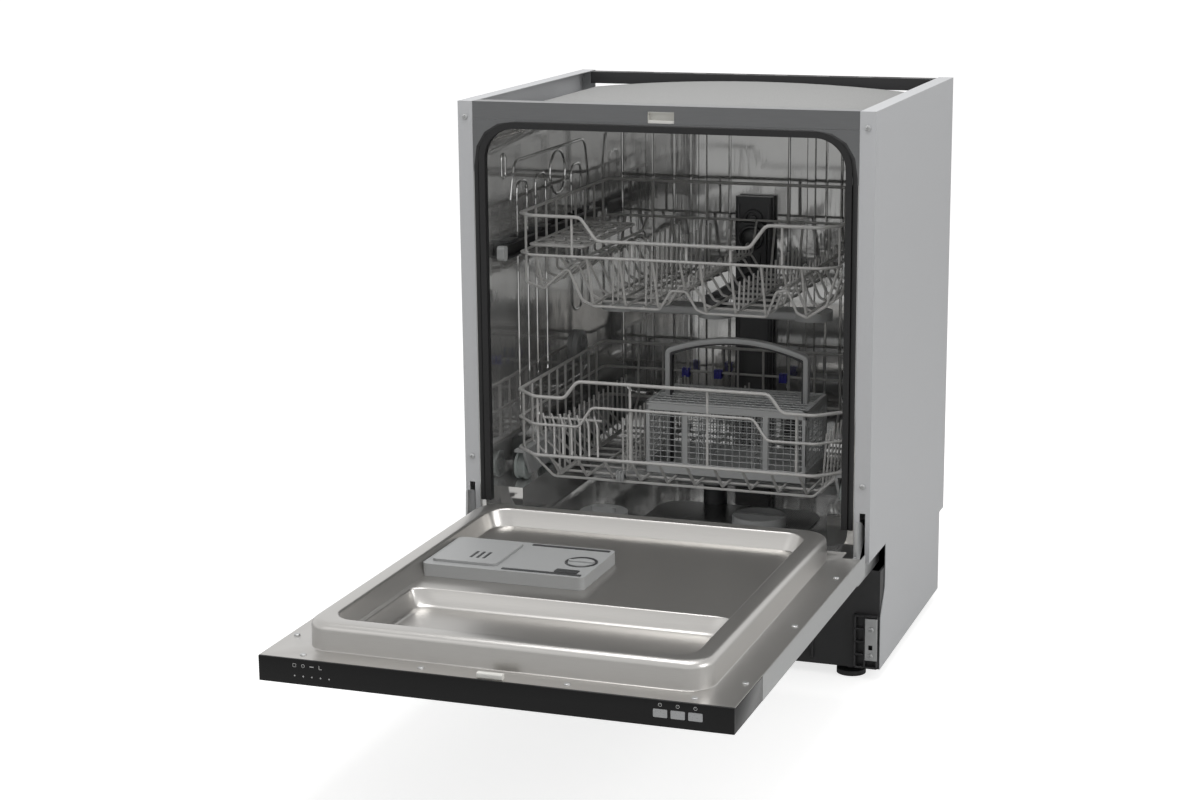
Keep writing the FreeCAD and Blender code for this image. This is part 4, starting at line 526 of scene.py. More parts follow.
def make_finishes():
    """All the dishwasher's finishes, by name."""
    c = colours()
    along_x, upright = (0.03, 1, 1), (1, 1, 0.07)
    # Powder-painted sheet: an even satin silver with a faint orange peel.
    surface("painted_steel", c.panel, 0.4, metallic=0.25, vary=0.04, grain=2.4, bump=0.008, shade=0.012)
    # Deep-drawn stainless steel: a mirror whose upright drawing waves let reflections hang in streaks.
    surface("bright_stainless", c.tub, 0.085, metallic=0.86, vary=0.025, grain=38.0, bump=0.55,
            stretch=upright, shade=0.015)
    # Stainless sheet ground along the door: a satin face with fine lines, coarser than real to show.
    surface("ground_stainless", c.liner, 0.3, metallic=0.92, vary=0.025, bump=0.0015,
            stretch=along_x, shade=0.025)
    # Galvanised sheet: a pale metal with a dull bloom.
    surface("galvanised_sheet", c.zinc, 0.36, metallic=0.8, grain=9.0, bump=0.004, shade=0.03)
    # Satin steel strip of the front rail: mid grey, with a long soft sheen.
    surface("satin_steel", c.rail, 0.33, metallic=0.7, vary=0.03, grain=1.2, bump=0.002,
            stretch=(0.05, 1, 1), shade=0.03)
    # Nylon-coated wire: a soft plastic sheen with slight thickness changes.
    surface("coated_wire", c.coating, 0.34, grain=5.0, bump=0.03)
    # Polypropylene moulded grey: a fine spark-eroded grain that dulls its shine.
    surface("grey_moulding", c.grey, 0.44, vary=0.06, grain=0.9, bump=0.02, shade=0.04)
    # Acetal moulded pale: smooth, waxy and close to white.
    surface("pale_moulding", c.pale, 0.38, grain=1.3, bump=0.01, shade=0.03)
    # Acetal of the wheels: cool grey, smooth and a little greasy.
    surface("wheel_moulding", c.wheel, 0.36, grain=1.6, bump=0.015)
    # Glass-filled polypropylene in the water: dark and slightly mottled.
    surface("dark_moulding", c.dark, 0.4, vary=0.07, grain=1.4, bump=0.02, shade=0.12)
    # Black polypropylene: a coarse moulded grain with a grey sheen.
    surface("black_moulding", c.black, 0.5, vary=0.08, grain=1.1, bump=0.04, shade=0.15)
    # Lacquered ABS caps: a silvery satin film.
    surface("lacquered_cap", c.button, 0.3, metallic=0.4, vary=0.04, grain=1.5, bump=0.005, shade=0.03)
    # Blue polypropylene clips: moulded smooth, with a soft shine.
    surface("blue_moulding", c.clip, 0.38, grain=1.2, bump=0.015, shade=0.06)
    # Extruded EPDM rubber: a dusty matt skin.
    surface("seal_rubber", c.rubber, 0.62, vary=0.1, grain=1.8, bump=0.03, shade=0.2)
    # Pressed bitumen felt: short fibres and a mottled tone.
    surface("damping_felt", c.felt, 0.93, grain=2.2, bump=0.3, shade=0.1)
    # Black stove paint of the rear rail and the runners: dark, with a dull gleam.
    surface("black_paint", c.black, 0.45, metallic=0.2, vary=0.06, grain=2.0, bump=0.01, shade=0.08)
    # Printed ink of the marks on the strip: pale and matt.
    surface("pale_ink", c.floor, 0.5, vary=0.04, grain=0.6, bump=0.002, shade=0.04)
    # Polished acrylic: deep black under a hard clear face.
    gloss = surface("polished_acrylic", c.gloss, 0.06, vary=0.02, grain=30.0, shade=0.1)
    gloss.node_tree.nodes["Principled BSDF"].inputs["Specular IOR Level"].default_value = 0.32
    # Etched stainless filter sheet: round holes 1.6 mm apart, drawn at 2.4 mm so that they show. The holes
    # are painted dark: painted shade for what is seen through them.
    etched = surface("etched_filter", c.zinc, 0.32, metallic=1.0, grain=3.0, bump=0.01)
    tree = etched.node_tree
    place = node(tree, "ShaderNodeTexCoord")
    pitch = {"Scale": 1 / (2.4 * MM), "Randomness": 0.0}
    holes = node(tree, "ShaderNodeTexVoronoi", {"feature": "F1"}, pitch, Vector=place.outputs["Object"])
    # Inside each hole the colour falls to 8 % of the sheet's: painted shade.
    rim = remap(tree, holes.outputs["Distance"], 0.08, 1.0, 0.28, 0.36)
    base = tree.nodes["Principled BSDF"].inputs["Base Color"]
    whole = base.links[0].from_socket
    sheet_with_hole_shade = node(tree, "ShaderNodeVectorMath", {"operation": "SCALE"}, None, Vector=whole, Scale=rim)
    tree.links.new(base, sheet_with_hole_shade.outputs["Vector"])


class DISHWASHER_OT_finishes(bpy.types.Operator):
    """Give every CAD piece its finish"""

    bl_idname = "dishwasher.finishes"
    bl_label = "Finishes"

    def execute(self, context):
        make_finishes()
        for part in frame["record"]["subparts"]:
            name = part["node"]
            look = NODE_FINISHES.get(name, SLOT_FINISHES[part["material_slot"]])
            dress(frame["nodes"][name], look, CAD_CRISP)
        return {"FINISHED"}


def hoop(half, front, back, level, chamfer, middle=0.0, slope=0.0, lift=0.0):
    """A rack's hoop with chamfered front corners. Its front rises or dips by lift over the middle."""
    points = [(half, back, level), (-half, back, level)]
    points += [(-half, front + chamfer, level), (-half + chamfer, front, level)]
    if lift:
        points += [(-middle - slope, front, level), (-middle, front, level + lift)]
        points += [(middle, front, level + lift), (middle + slope, front, level)]
    return points + [(half - chamfer, front, level), (half, front + chamfer, level)]


def tine_row(runs, x, ends, level, count, margin, tip, thick):
    """A bar along a rack with a row of tines, each from its foot on the bar to its tip."""
    near, far = ends
    runs.add((x, near, level), (x, far, level))
    for y in spread(count, near + margin, far - margin):
        foot = Vector((x, y, level))
        runs.add(foot, foot + Vector(tip), thick=thick)


class DISHWASHER_OT_lower_rack(bpy.types.Operator):
    """Bend the lower rack's wires, with its raised front and rows of tines"""

    bl_idname = "dishwasher.lower_rack"
    bl_label = "Lower Rack"

    def execute(self, context):
        wire, rail, tine, bend = gauges()
        weld = wire * WELD
        low, high = span("lower_rack")
        half = high.x - rail / 2
        front, back = low.y + rail / 2, high.y - rail / 2
        near, far = front + weld, back - weld
        floor = low.z + wire / 2
        rise, slope, chamfer = 26.0, 20.0, 38.0
        rim = high.z - rail / 2 - rise
        mid, belt, bed = floor + 88.0, floor + 42.0, floor + weld
        rim_middle, mid_middle, step = 142.0, 120.0, 4
        runs = Runs(wire, bend)
        outline = half, front, back
        runs.add(*hoop(*outline, rim, chamfer, rim_middle, slope, rise), thick=rail, bend=14.0, closed=True)
        runs.add(*hoop(*outline, mid, chamfer, mid_middle, slope, rise + step), bend=12.0, closed=True)
        runs.add(*hoop(*outline, belt, chamfer), thick=rail, bend=14.0, closed=True)
        # Wires across the rack and along it, up to the rim.
        inner, shoulder, toe = half - weld, 196.0, 46.0
        start, end = front + toe, back - toe
        for y in spread(10, start, end):
            runs.add((-inner, y, rim), (-inner, y, belt), (-shoulder, y, floor), (shoulder, y, floor),
                     (inner, y, belt), (inner, y, rim))
        for x in spread(10, -shoulder * 0.95, shoulder * 0.95):
            runs.add((x, near, belt), (x, start, bed), (x, end, bed), (x, far, belt), (x, far, rim))
        for x in (-204.0, -63.0, 52.0, 182.0):
            runs.add((x, near, rim + rise if abs(x) < rim_middle else rim), (x, near, belt - 2))
        # Plate rows: tines on bars along the rack.
        tall, margin = 84, 8
        behind = span("cutlery_basket")[1].y + 14
        rows = (-190.0, start, bed, 0.0), (207.0, start, bed + wire, 6.0), (12.0, behind, bed, 0.0)
        for x, first, bar, lean in rows:
            count = int((end - first) / (sizes().tine_pitch / MM))
            tine_row(runs, x, (first, end), bar, count, margin, (lean, 0, tall), tine)
        # A leaning row in the front left corner, tied by a bar behind the front.
        tie = front + 44
        runs.add((-212.0, tie, mid), (-120.0, tie, mid))
        for x in spread(7, -206.0, -126.0):
            tip, neck, foot = (x - 6, tie, mid + 6), (x, tie - 4, mid - 8), (x + 14, front + 3, belt + 2)
            runs.add(tip, neck, foot, thick=tine, bend=6)
        # Welded cross bars over the floor.
        for y in (front + 150.0, back - 150.0):
            runs.add((-shoulder, y, floor - 0.2), (shoulder, y, floor - 0.2))
        finish(wires(runs), "lower_rack_wires", "lower_rack", "rack_coating", ["lower_rack"])

        low, high = span("folding_tines")
        x, bar, margin = (low.x + high.x) / 2, low.z + wire / 2, 12
        runs = Runs(wire, bend)
        tine_row(runs, x, (low.y, high.y), bar, 16, margin, (0, 0, high.z - bar), tine)
        finish(wires(runs), "folding_row", "folding_tines", "rack_coating", ["folding_tines"])
        return {"FINISHED"}


class DISHWASHER_OT_tine_clips(bpy.types.Operator):
    """Model one ribbed clip with its eye and set it on the rack's wires"""

    bl_idname = "dishwasher.tine_clips"
    bl_label = "Tine Clips"

    def execute(self, context):
        low, high = span("tine_clips")
        wide, tall, shoulder, recess = 6.0, 7.5, 4, 1.5
        rib, pitch, eye, soft = 1.3, 4.6, 5.2, 0.8
        parts = [slab((-wide, -wide + recess, -tall), (wide, wide, tall - shoulder), 1.6)]
        parts += [slab((x - rib, -wide, -tall), (x + rib, wide, tall), 1.0) for x in (-pitch, 0, pitch)]
        barrel = [(0, eye - soft), (soft, eye), (wide * 2 - soft, eye), (wide * 2, eye - soft)]
        parts.append(turned((-wide, recess, 0), "x", barrel, 20))
        clip = join(parts)
        back, level = high.y - wide, high.z - tall
        blue = [copy(clip, (x, back, level)) for x in (low.x + wide, -53.1, 53.1, high.x - wide)]
        finish(join(blue), "ribbed_clips", "lower_rack", "blue_plastic", ["tine_clips"])
        # The two that carry the folding row are grey.
        row, first, last = -92.0, low.y + 3, low.y + 325
        grey = [copy(clip, (row, y, low.z + tall)) for y in (first, last)]
        finish(join(grey), "row_clips", "lower_rack", "grey_plastic")
        bpy.data.objects.remove(clip)
        return {"FINISHED"}


class DISHWASHER_OT_rack_wheels(bpy.types.Operator):
    """Model one ribbed wheel and set a pair on each axle line"""

    bl_idname = "dishwasher.rack_wheels"
    bl_label = "Rack Wheels"

    def execute(self, context):
        low, high = span("rack_wheels_1")
        centre = (low + high) / 2
        radius, width, web = (high.z - low.z) / 2, 17.0, 7.0
        start = (high.x - width, centre.y, centre.z)
        # From the inner face over two treads and their groove, then in to the web and out over the hub.
        rings = [
            (0, radius - 4), (0.01, radius - 1.2), (1.2, radius), (4.5, radius), (5.5, radius - 1.6),
            (11.5, radius - 1.6), (12.5, radius), (width - 1.2, radius), (width, radius - 1.4),
            (width, radius - 4.2), (web, radius - 5.0), (web, 9.0), (width - 1.5, 8.4), (width - 0.6, 7.2),
            (width - 0.6, 4.0), (width - 3.0, 3.6),
        ]
        rib = slab((web, -1.2, 8.0), (14.0, 1.2, radius - 4.0), 0.5, 1)
        right = join([turned(start, "x", rings, sides=40)] + spokes(rib, 8, start))
        pair = join([right, copy(right, flip=True)])
        for number in range(1, 5):
            name = f"rack_wheels_{number}"
            low, high = span(name)
            wheels = copy(pair, (0, (low.y + high.y) / 2 - centre.y, 0))
            finish(wheels, f"wheel_pair_{number}", name, "grey_plastic", [name], "wheel_moulding")
        bpy.data.objects.remove(pair)
        return {"FINISHED"}


class DISHWASHER_OT_cutlery(bpy.types.Operator):
    """Model the cutlery basket's barred walls, slotted lid and bowed handle"""

    bl_idname = "dishwasher.cutlery"
    bl_label = "Cutlery Basket"

    def execute(self, context):
        bar = sizes().mesh_bar / MM
        low, high = span("cutlery_basket")
        inset, wall, post = 1.2, 2.6, 7.0
        x0, x1, y0, y1 = low.x + inset, high.x - inset, low.y + inset, high.y - inset
        foot, top = low.z + 16.0, high.z - 9.0
        across, along, rise = (x1 - x0, 0, 0), (0, y1 - y0, 0), (0, 0, top - foot)
        pieces = [lattice((x0, y, foot), across, rise, 22, 9, bar) for y in (y0, y1)]
        pieces += [lattice((x, y0, foot), along, rise, 11, 9, bar) for x in (x0, x1)]
        for a, b in ((low.z, foot + 1), (top - 1, high.z)):
            pieces += border((low.x, low.y, a), (high.x, high.y, b), wall, 0.6, 1)
        pieces.append(slab((low.x + 1, low.y + 1, low.z + 1), (high.x - 1, high.y - 1, low.z + 3.4), 0.4, 1))
        for x in (low.x, high.x - post):
            for y in (low.y, high.y - post):
                pieces.append(slab((x, y, low.z + 2), (x + post, y + post, high.z), 2.4, 3))
        # Two partitions, and two strips that stiffen the front.
        third, middle, strip = (high.x - low.x) / 3, (high.x + low.x) / 2, 4
        for n in (1, 2):
            pieces.append(lattice((low.x + third * n, y0, foot), along, rise, 8, 5, bar))
        for x in (middle - third * 0.75, middle + third * 0.75):
            pieces.append(slab((x - strip, low.y - 0.2, foot), (x + strip, low.y + 1.6, top), 0.5, 1))
        finish(join(pieces), "cutlery_mesh", "lower_rack", "grey_plastic", ["cutlery_basket"])

        low, high = span("cutlery_lid")
        inset, rim, lid_bar, rib = 3, 6.0, 2.5, 3
        across, along = (high.x - low.x - inset * 2, 0, 0), (0, high.y - low.y - inset * 2, 0)
        corner = (low.x + inset, low.y + inset, (low.z + high.z) / 2)
        pieces = [lattice(corner, across, along, 17, 8, lid_bar)] + border(low, high, rim, 0.8, 2)
        middle = (low.y + high.y) / 2
        pieces.append(slab((low.x, middle - rib, low.z), (high.x, middle + rib, high.z), 0.6, 1))
        finish(join(pieces), "cutlery_grid", "lower_rack", "grey_plastic", ["cutlery_lid"])

        low, high = span("cutlery_handle")
        crown, thick, lining = 20.0, 7.5, 2.8
        centre, deep = (low + high) / 2, high.y - low.y

        def bow(inset):
            """The handle's line, inset from its outside."""
            reach, shoulder = (high.x - low.x) / 2 - inset, high.z - crown - inset
            line = [(centre.x - reach, centre.y, low.z)]
            for share in spread(25, -1, 1):
                line.append((centre.x + reach * share, centre.y, shoulder + crown * (1 - share * share)))
            line.append((centre.x + reach, centre.y, low.z))
            return rounded(line, 7.0, False)

        handle = swept(bow(thick / 2), thick, deep, 1.4)
        finish(handle, "cutlery_bow", "lower_rack", "grey_plastic", ["cutlery_handle"])
        strip = swept(bow(thick + lining / 2 - 0.4), lining, deep - 3.2, 0.5)
        finish(strip, "cutlery_bow_lining", "lower_rack", "dark_plastic", look="black_moulding")
        return {"FINISHED"}


class DISHWASHER_OT_upper_rack(bpy.types.Operator):
    """Bend the upper rack's wires: dipped front, trough floor, tines, cup humps and the folding shelf"""

    bl_idname = "dishwasher.upper_rack"
    bl_label = "Upper Rack"

    def execute(self, context):
        wire, rail, tine, bend = gauges()
        weld = wire * WELD
        low, high = span("upper_rack")
        half = 235.0
        front, back = low.y + rail / 2, high.y - rail / 2
        near, far = front + weld, back - weld
        rim, floor = high.z - rail / 2, low.z + wire / 2
        belt = floor + 78.0
        dip, slope, chamfer, middle = 33.0, 24.0, 22.0, 112.0
        runs = Runs(wire, bend)
        outline = half, front, back
        runs.add(*hoop(*outline, rim, chamfer, middle, slope, -dip), thick=rail, bend=14.0, closed=True)
        runs.add(*hoop(*outline, belt, chamfer), bend=12.0, closed=True)
        # The floor's troughs and humps from left to right: x and the height over the floor.
        section = (
            (-205, 24), (-168, 56), (-146, 10), (-128, 2), (-30, 2), (-12, 30), (10, 30), (26, 4),
            (40, 0), (128, 0), (142, 36), (158, 40), (172, 8), (186, 2), (214, 20),
        )
        inner, toe = half - weld, 34
        for y in spread(9, front + toe, back - toe):
            left = [(-inner, y, rim), (-inner, y, floor + 32)]
            right = [(inner, y, belt), (inner, y, rim)]
            runs.add(*left, *((x, y, floor + lift) for x, lift in section), *right, bend=7.0)
        beds = (
            (-205, 24), (-168, 56), (-128, 2), (-79, 2), (-30, 2), (10, 30),
            (40, 0), (84, 0), (128, 0), (158, 40), (186, 2),
        )
        for x, lift in beds:
            level = floor + lift + weld
            runs.add((x, near, belt), (x, front + 30, level), (x, back - 30, level), (x, far, belt))
        # Posts in the front and the back.
        for x in (-150.0, -60.0, 20.0, 84.0, 158.0):
            runs.add((x, near, rim - dip if abs(x) <= middle else rim), (x, near, belt - 2))
        for x in (-160.0, -70.0, 60.0, 150.0):
            runs.add((x, far, rim), (x, far, belt - 2))
        # Rows of tines, which lean to the back.
        base, margin, lean, ends = floor + weld, 12, 5, (front + toe, back - toe)
        for x, tall in ((-104.0, 74.0), (-54.0, 74.0), (84.0, 42.0)):
            tine_row(runs, x, ends, base, 14, margin, (0, lean, tall), tine)
        # Cup humps: small arches along two bars.
        reach, margin = 9, 56
        for x, level in ((10.0, floor + 34), (158.0, floor + 44)):
            foot, crown = level - 4, level + 16
            for y in spread(9, front + margin, back - margin):
                a, b = y - reach, y + reach
                runs.add((x, a, foot), (x, a, crown), (x, b, crown), (x, b, foot), thick=tine, bend=8.0)
        # Hangers from the belt to the runners.
        outer = span("upper_runners")[1].x - 4
        for share in (0.34, 0.85):
            y = low.y + (high.y - low.y) * share
            for side in (-1, 1):
                runs.add((side * (half - 2), y, belt), (side * outer, y, belt), thick=8.0)
        finish(wires(runs), "upper_rack_wires", "upper_rack", "rack_coating", ["upper_rack"])

        # The docking hood's round cap, its skirt and ribs.
        low, high = span("upper_feed_pipe")
        face = high.y - 12.0
        rings = [(0.5, 20), (-3, 20), (-5, 18.6), (-5.6, 16.5), (-4, 15.4)]
        rings += [(-2, 14.6), (-4.4, 11), (-6, 7), (-6.6, 3)]
        hood = [turned((0, face, high.z - 23), "y", rings, 40)]
        hood.append(slab((-21, face - 3.4, low.z + 14), (21, face + 0.5, low.z + 22), 1.4))
        for x in (-14, 0, 14):
            hood.append(slab((x - 1.2, face - 2.4, low.z + 24), (x + 1.2, face + 0.5, high.z - 46), 0.8, 1))
        finish(join(hood), "hood_trim", "upper_rack", "dark_plastic")

        # The cup shelf: a frame, wavy bars along it and straight ones across.
        low, high = span("cup_shelf")
        level = high.z - wire / 2
        x0, x1, y0, y1 = low.x + wire / 2, high.x - wire / 2, low.y + wire / 2, high.y - wire / 2
        runs = Runs(tine, 6.0)
        frame_line = (x0, y0, level), (x1, y0, level), (x1, y1, level), (x0, y1, level)
        runs.add(*frame_line, thick=wire, bend=10.0, closed=True)
        swing, margin = 5, 22
        for x in spread(4, x0 + 16, x1 - 8):
            wave = enumerate(spread(25, y0, y1))
            runs.add(*((x + swing * math.sin(n * math.pi / 2), y, level - 1.6) for n, y in wave))
        for y in spread(6, y0 + margin, y1 - margin):
            runs.add((x0, y, level - 1.4), (x1, y, level - 1.4))
        finish(wires(runs), "cup_shelf_wires", "cup_shelf", "rack_coating", ["cup_shelf"])
        return {"FINISHED"}


class DISHWASHER_OT_door_liner(bpy.types.Operator):
    """Press the door's liner: flange, raised rim, sloping shelf and basin"""

    bl_idname = "dishwasher.door_liner"
    bl_label = "Door Liner"

    def execute(self, context):
        low, high = span("door_inner_liner")
        plane, top = span("control_strip")[1].z, high.z
        pan_x, pan_front, pan_rear = 256.0, low.y + 33.2, high.y - 20.0
        rim, corner, sheet = 27.0, 33.0, 1.0
        basin_rear = pan_front + rim * 2 + 228.0
        shelf, basin = top - 24.0, top - 46.0

        def pan(shrink, rear=pan_rear):
            return (-pan_x + shrink, pan_front + shrink, pan_x - shrink, rear - shrink)

        def bend(shrink, level, radius, inward, rear=pan_rear, steps=5):
            """Rings of a quarter bend: from a wall over to a flat, or from a flat down a wall."""
            made = []
            for n in range(1, steps + 1):
                turn = math.pi / 2 * n / steps
                across, down = 1 - math.cos(turn), 1 - math.sin(turn)
                if inward:
                    across, down = math.sin(turn), 1 - math.cos(turn)
                made.append((pan(shrink + radius * across, rear), level - radius * down))
            return made

        # Up the wall, over the rim and down to the shelf.
        rings = [(pan(-0.3), plane + 0.8), (pan(0), plane + 2.4), (pan(0), top - 9.0)]
        rings += bend(0, top, 9.0, False)
        rings += [(pan(rim - 4), top)] + bend(rim - 4, top, 3.6, True)
        rings += [(pan(rim + 5), shelf + 3), (pan(rim + 6), shelf + 0.8), (pan(rim + 8), shelf)]
        # From the shelf down to the basin in front of it.
        rings += [(pan(rim + 10, basin_rear), shelf)] + bend(rim + 10, shelf, 3.0, True, basin_rear)
        for shrink, lift in ((22, 4), (24, 1.4), (26.5, 0.3), (30, 0)):
            rings.append((pan(rim + shrink, basin_rear), basin + lift))
        liner = pressed((low.x, low.y, high.x, high.y), plane, pan(-1.4), corner, rings)
        apply(liner, "SOLIDIFY", thickness=sheet * MM, offset=-1.0)
        # Notches in the flange's rear corners give the hinge plates room.
        notch_x, notch_y, past = 272.0, high.y - 28.0, 5
        for side in (-1, 1):
            left, right = sorted((side * notch_x, side * (high.x + past)))
            cut(liner, slab((left, notch_y, plane - past), (right, high.y + past, plane + past)))
        finish(liner, "door_liner_pressing", "door", "liner_steel", ["door_inner_liner"])
        return {"FINISHED"}


class DISHWASHER_OT_dispenser(bpy.types.Operator):
    """Add dark strips on the detergent dispenser's lid, painted shade for its sunk grip grooves, and the
    housing's bars, catch and ring
    """

    bl_idname = "dishwasher.dispenser"
    bl_label = "Dispenser Trim"

    def execute(self, context):
        low, high = span("dispenser_lid")
        # Dark strips 0.4 mm proud of the lid: painted shade standing in for the shade in its sunk grip
        # grooves.
        ribs = []
        for x in (low.x + 46, low.x + 55, low.x + 64):
            ribs.append(slab((x, low.y + 20, high.z - 0.6), (x + 4, low.y + 48, high.z + 0.4), 0.3))
        finish(join(ribs), "dispenser_lid_groove_shade", "dispenser_lid", "dark_plastic")

        low, high = span("detergent_dispenser")
        left, right, foot = low.x + 110, high.x - 6, high.z - 1
        trim = [slab((left, y, foot), (right, y + 6, high.z + 1.2), 0.8) for y in (low.y + 6, high.y - 12)]
        trim.append(slab((high.x - 46, low.y + 15, foot), (high.x - 14, low.y + 28, high.z + 1.6), 1.2))
        cap_low, cap_high = span("rinse_cap")
        centre = (cap_low + cap_high) / 2
        ring = [(0, 22.0), (1.4, 22.0), (2.0, 21.2), (2.0, 19.6), (0.6, 19.2)]
        trim.append(turned((centre.x, centre.y, high.z - 0.5), "z", ring))
        finish(join(trim), "dispenser_trim", "door", "grey_plastic", look="dark_moulding")
        return {"FINISHED"}


class DISHWASHER_OT_control_strip(bpy.types.Operator):
    """Fold the control strip round its buttons and print its plain signs and lights"""

    bl_idname = "dishwasher.control_strip"
    bl_label = "Control Strip"

    def execute(self, context):
        low, high = span("control_strip")
        buttons = [span(f"button_{number}") for number in range(1, 4)]
        face, wall, gap, past = low.y + 0.3, 2.4, 0.4, 2
        front = slab((low.x, face, low.z), (high.x, face + wall, high.z), 0.8, 3)
        for a, b in buttons:
            cut(front, slab((a.x - gap, face - past, a.z - gap), (b.x + gap, face + wall + past, b.z + gap)))
        pieces = [front, slab((low.x, face + 0.6, low.z), (high.x, high.y, low.z + wall), 0.8, 3)]
        for x in (low.x, high.x - wall):
            pieces.append(slab((x, face + 0.6, low.z + 0.4), (x + wall, high.y, high.z - 1.5), 0.8))
        finish(join(pieces), "control_strip_bar", "door", "gloss_black", ["control_strip"])

        # Four plain signs over a row of five lights. The ink stands 0.1 mm proud.
        left, pitch, top, lights = low.x + 48, 11.4, high.z - 8, high.z - 21
        radius, stroke, proud, ink = 2, 0.7, face - 0.1, face + 0.25
        dot = turned((0, proud, 0), "y", [(0, 1.0), (0.5, 1.0), (0.6, 0.8)], 12)
        marks = [copy(dot, (left + n * pitch, 0, lights)) for n in range(5)]
        bpy.data.objects.remove(dot)

        def line(x, z, shape, thick, bend, closed=False):
            marks.append(wires([([(x + u, ink, z + w) for u, w in shape], thick, bend, closed)]))

        def circle(x, z):
            line(x, z, ring_points((0, 0), radius, 14), stroke, 0.3, True)

        line(left, top, ((-2, -2), (2, -2), (2, 2), (-2, 2)), stroke, 0.6, True)
        circle(left + pitch, top)
        dash = left + pitch * 2
        marks.append(slab((dash - 2.6, proud, top - 0.6), (dash + 2.6, face + 0.5, top + 0.6), 0.2))
        line(left + pitch * 3, top, ((-1.6, 2.2), (-1.6, -2), (2, -2)), 0.9, 0.4)
        # A dial over each button, the last with a longer hand.
        for a, b in buttons:
            x, z = (a.x + b.x) / 2, b.z + 5.2
            hand = 2.4 if (a, b) == buttons[-1] else 1.4
            circle(x, z)
            line(x, z, ((0, 0), (0, hand)), 0.6, 0.1)
        finish(join(marks), "strip_marks", "door", "button_grey", look="pale_ink")
        return {"FINISHED"}


class DISHWASHER_OT_tub_pressings(bpy.types.Operator):
    """Press the ridges of the tub's walls"""

    bl_idname = "dishwasher.tub_pressings"
    bl_label = "Tub Pressings"

    def execute(self, context):
        # A ridge is a round bead, of which less than half stands out of the wall.
        bead = sizes().press / MM * 2.2
        wall, back = 268.6, span("tub")[1].y - 0.4
        boss = ring_points((383, 677), 33, 20)
        # Upright loops that stiffen a wall: y0, y1, z0, z1 and bend.
        loops = (
            (212, 252, 306, 683, 16.0), (288, 330, 374, 684, 16.0), (442, 486, 450, 680, 18.0),
            (154, 168, 696, 730, 7.0),
        )
        runs = Runs(bead, 16.0)
        for x in (-wall, wall):
            # The long outline over the upper rack, and the step over the lower one.
            runs.add((x, 186, 660), (x, 202, 715), (x, 506, 715), (x, 518, 660), (x, 518, 450), bend=24.0)
            runs.add((x, 500, 352), (x, 480, 341), (x, 312, 341), (x, 285, 318), (x, 285, 270))
            for y0, y1, z0, z1, bend in loops:
                runs.add((x, y0, z0), (x, y1, z0), (x, y1, z1), (x, y0, z1), bend=bend, closed=True)
            runs.add(*((x, y, z) for y, z in boss), bend=4.0, closed=True)
        # Tall panels pressed in the back.
        foot, crown = 300, 752
        for x0, x1 in ((-222, -136), (-108, -44), (52, 112), (136, 222)):
            corners = (x0, foot), (x1, foot), (x1, crown), (x0, crown)
            runs.add(*((x, back, z) for x, z in corners), bend=24.0, closed=True)
        finish(wires(runs, 3), "tub_ridges", "cabinet", "tub_steel")
        return {"FINISHED"}


class DISHWASHER_OT_tub_fittings(bpy.types.Operator):
    """Add the feed duct's ribs, bands and port, and the vent's grille"""

    bl_idname = "dishwasher.tub_fittings"
    bl_label = "Tub Fittings"

    def execute(self, context):
        low, high = span("feed_duct")
        face, sunk = low.y, 0.5
        rear = face + sunk
        trim = []
        for x in (-24.0, 24.0):
            trim.append(slab((x - 1.6, face - 2.2, low.z + 60), (x + 1.6, rear, high.z - 12), 1.0))
        port = [(sunk, 15), (-2.6, 15), (-3.6, 14), (-3.6, 11), (-1.0, 10), (-1.0, 6), (-4, 5), (-4.6, 3.4)]
        trim.append(turned((0, face, high.z - 34), "y", port, 32))
        for z in (high.z - 70, low.z + 90):
            trim.append(slab((-28, face - 2.6, z), (28, rear, z + 7), 1.2))
        finish(join(trim), "duct_trim", "cabinet", "dark_plastic")

        # The vent's ring, hub and spokes on the left wall.
        low, high = span("air_vent")
        centre, reach = (low + high) / 2, (high.z - low.z) / 2
        start = Vector((high.x, centre.y, centre.z))
        ring = [(-sunk, reach), (1.4, reach), (2.2, reach - 1.2), (2.2, reach - 7.6), (0.2, reach - 8.4)]
        hub = [(-sunk, 5.4), (2.0, 5.4), (2.6, 4.6), (2.6, 1.0)]
        spoke = slab((-sunk, -1.5, 4.0), (1.8, 1.5, reach - 7.8), 0.6, 1)
        grille = [turned(start, "x", ring, 40), turned(start, "x", hub, 20)] + spokes(spoke, 6, start)
        finish(join(grille), "vent_grille", "cabinet", "grey_plastic")
        return {"FINISHED"}


class DISHWASHER_OT_mouth(bpy.types.Operator):
    """Lay the seal's outer bead round the tub's mouth, and the steel face between the seal and the rail"""

    bl_idname = "dishwasher.mouth"
    bl_label = "Mouth"

    def execute(self, context):
        low, high = span("tub")
        gasket_low, gasket_high = span("door_gasket")
        bead, corner = 9.0, 60.0
        x, y = high.x - bead / 2 - 0.4, gasket_low.y + bead / 2
        foot, crown = gasket_low.z, high.z - bead / 2 - 0.2
        lip = [(-x, y, foot), (-x, y, crown), (x, y, crown), (x, y, foot)]
        finish(wires([(lip, bead, corner, False)], 4), "mouth_lip", "cabinet", "seal_rubber")

        # The face is cut by the mouth: two boxes and a round corner at each side.
        half, ceiling, bow, thin, past = gasket_high.x, gasket_high.z, 46.0, 0.7, 5
        sill, edge = ceiling - 70, high.x - 0.3
        face = slab((-edge, low.y - thin, sill), (edge, low.y + 0.05, high.z + 0.1))
        before, behind, under = low.y - past, low.y + past, sill - past
        cut(face, slab((-half + bow, before, under), (half - bow, behind, ceiling)))
        cut(face, slab((-half, before, under), (half, behind, ceiling - bow)))
        for x in (bow - half, half - bow):
            cut(face, turned((x, before, ceiling - bow), "y", [(0, bow), (past * 2, bow)], 48))
        finish(face, "mouth_face", "cabinet", "rail_steel", look="satin_steel")
        return {"FINISHED"}


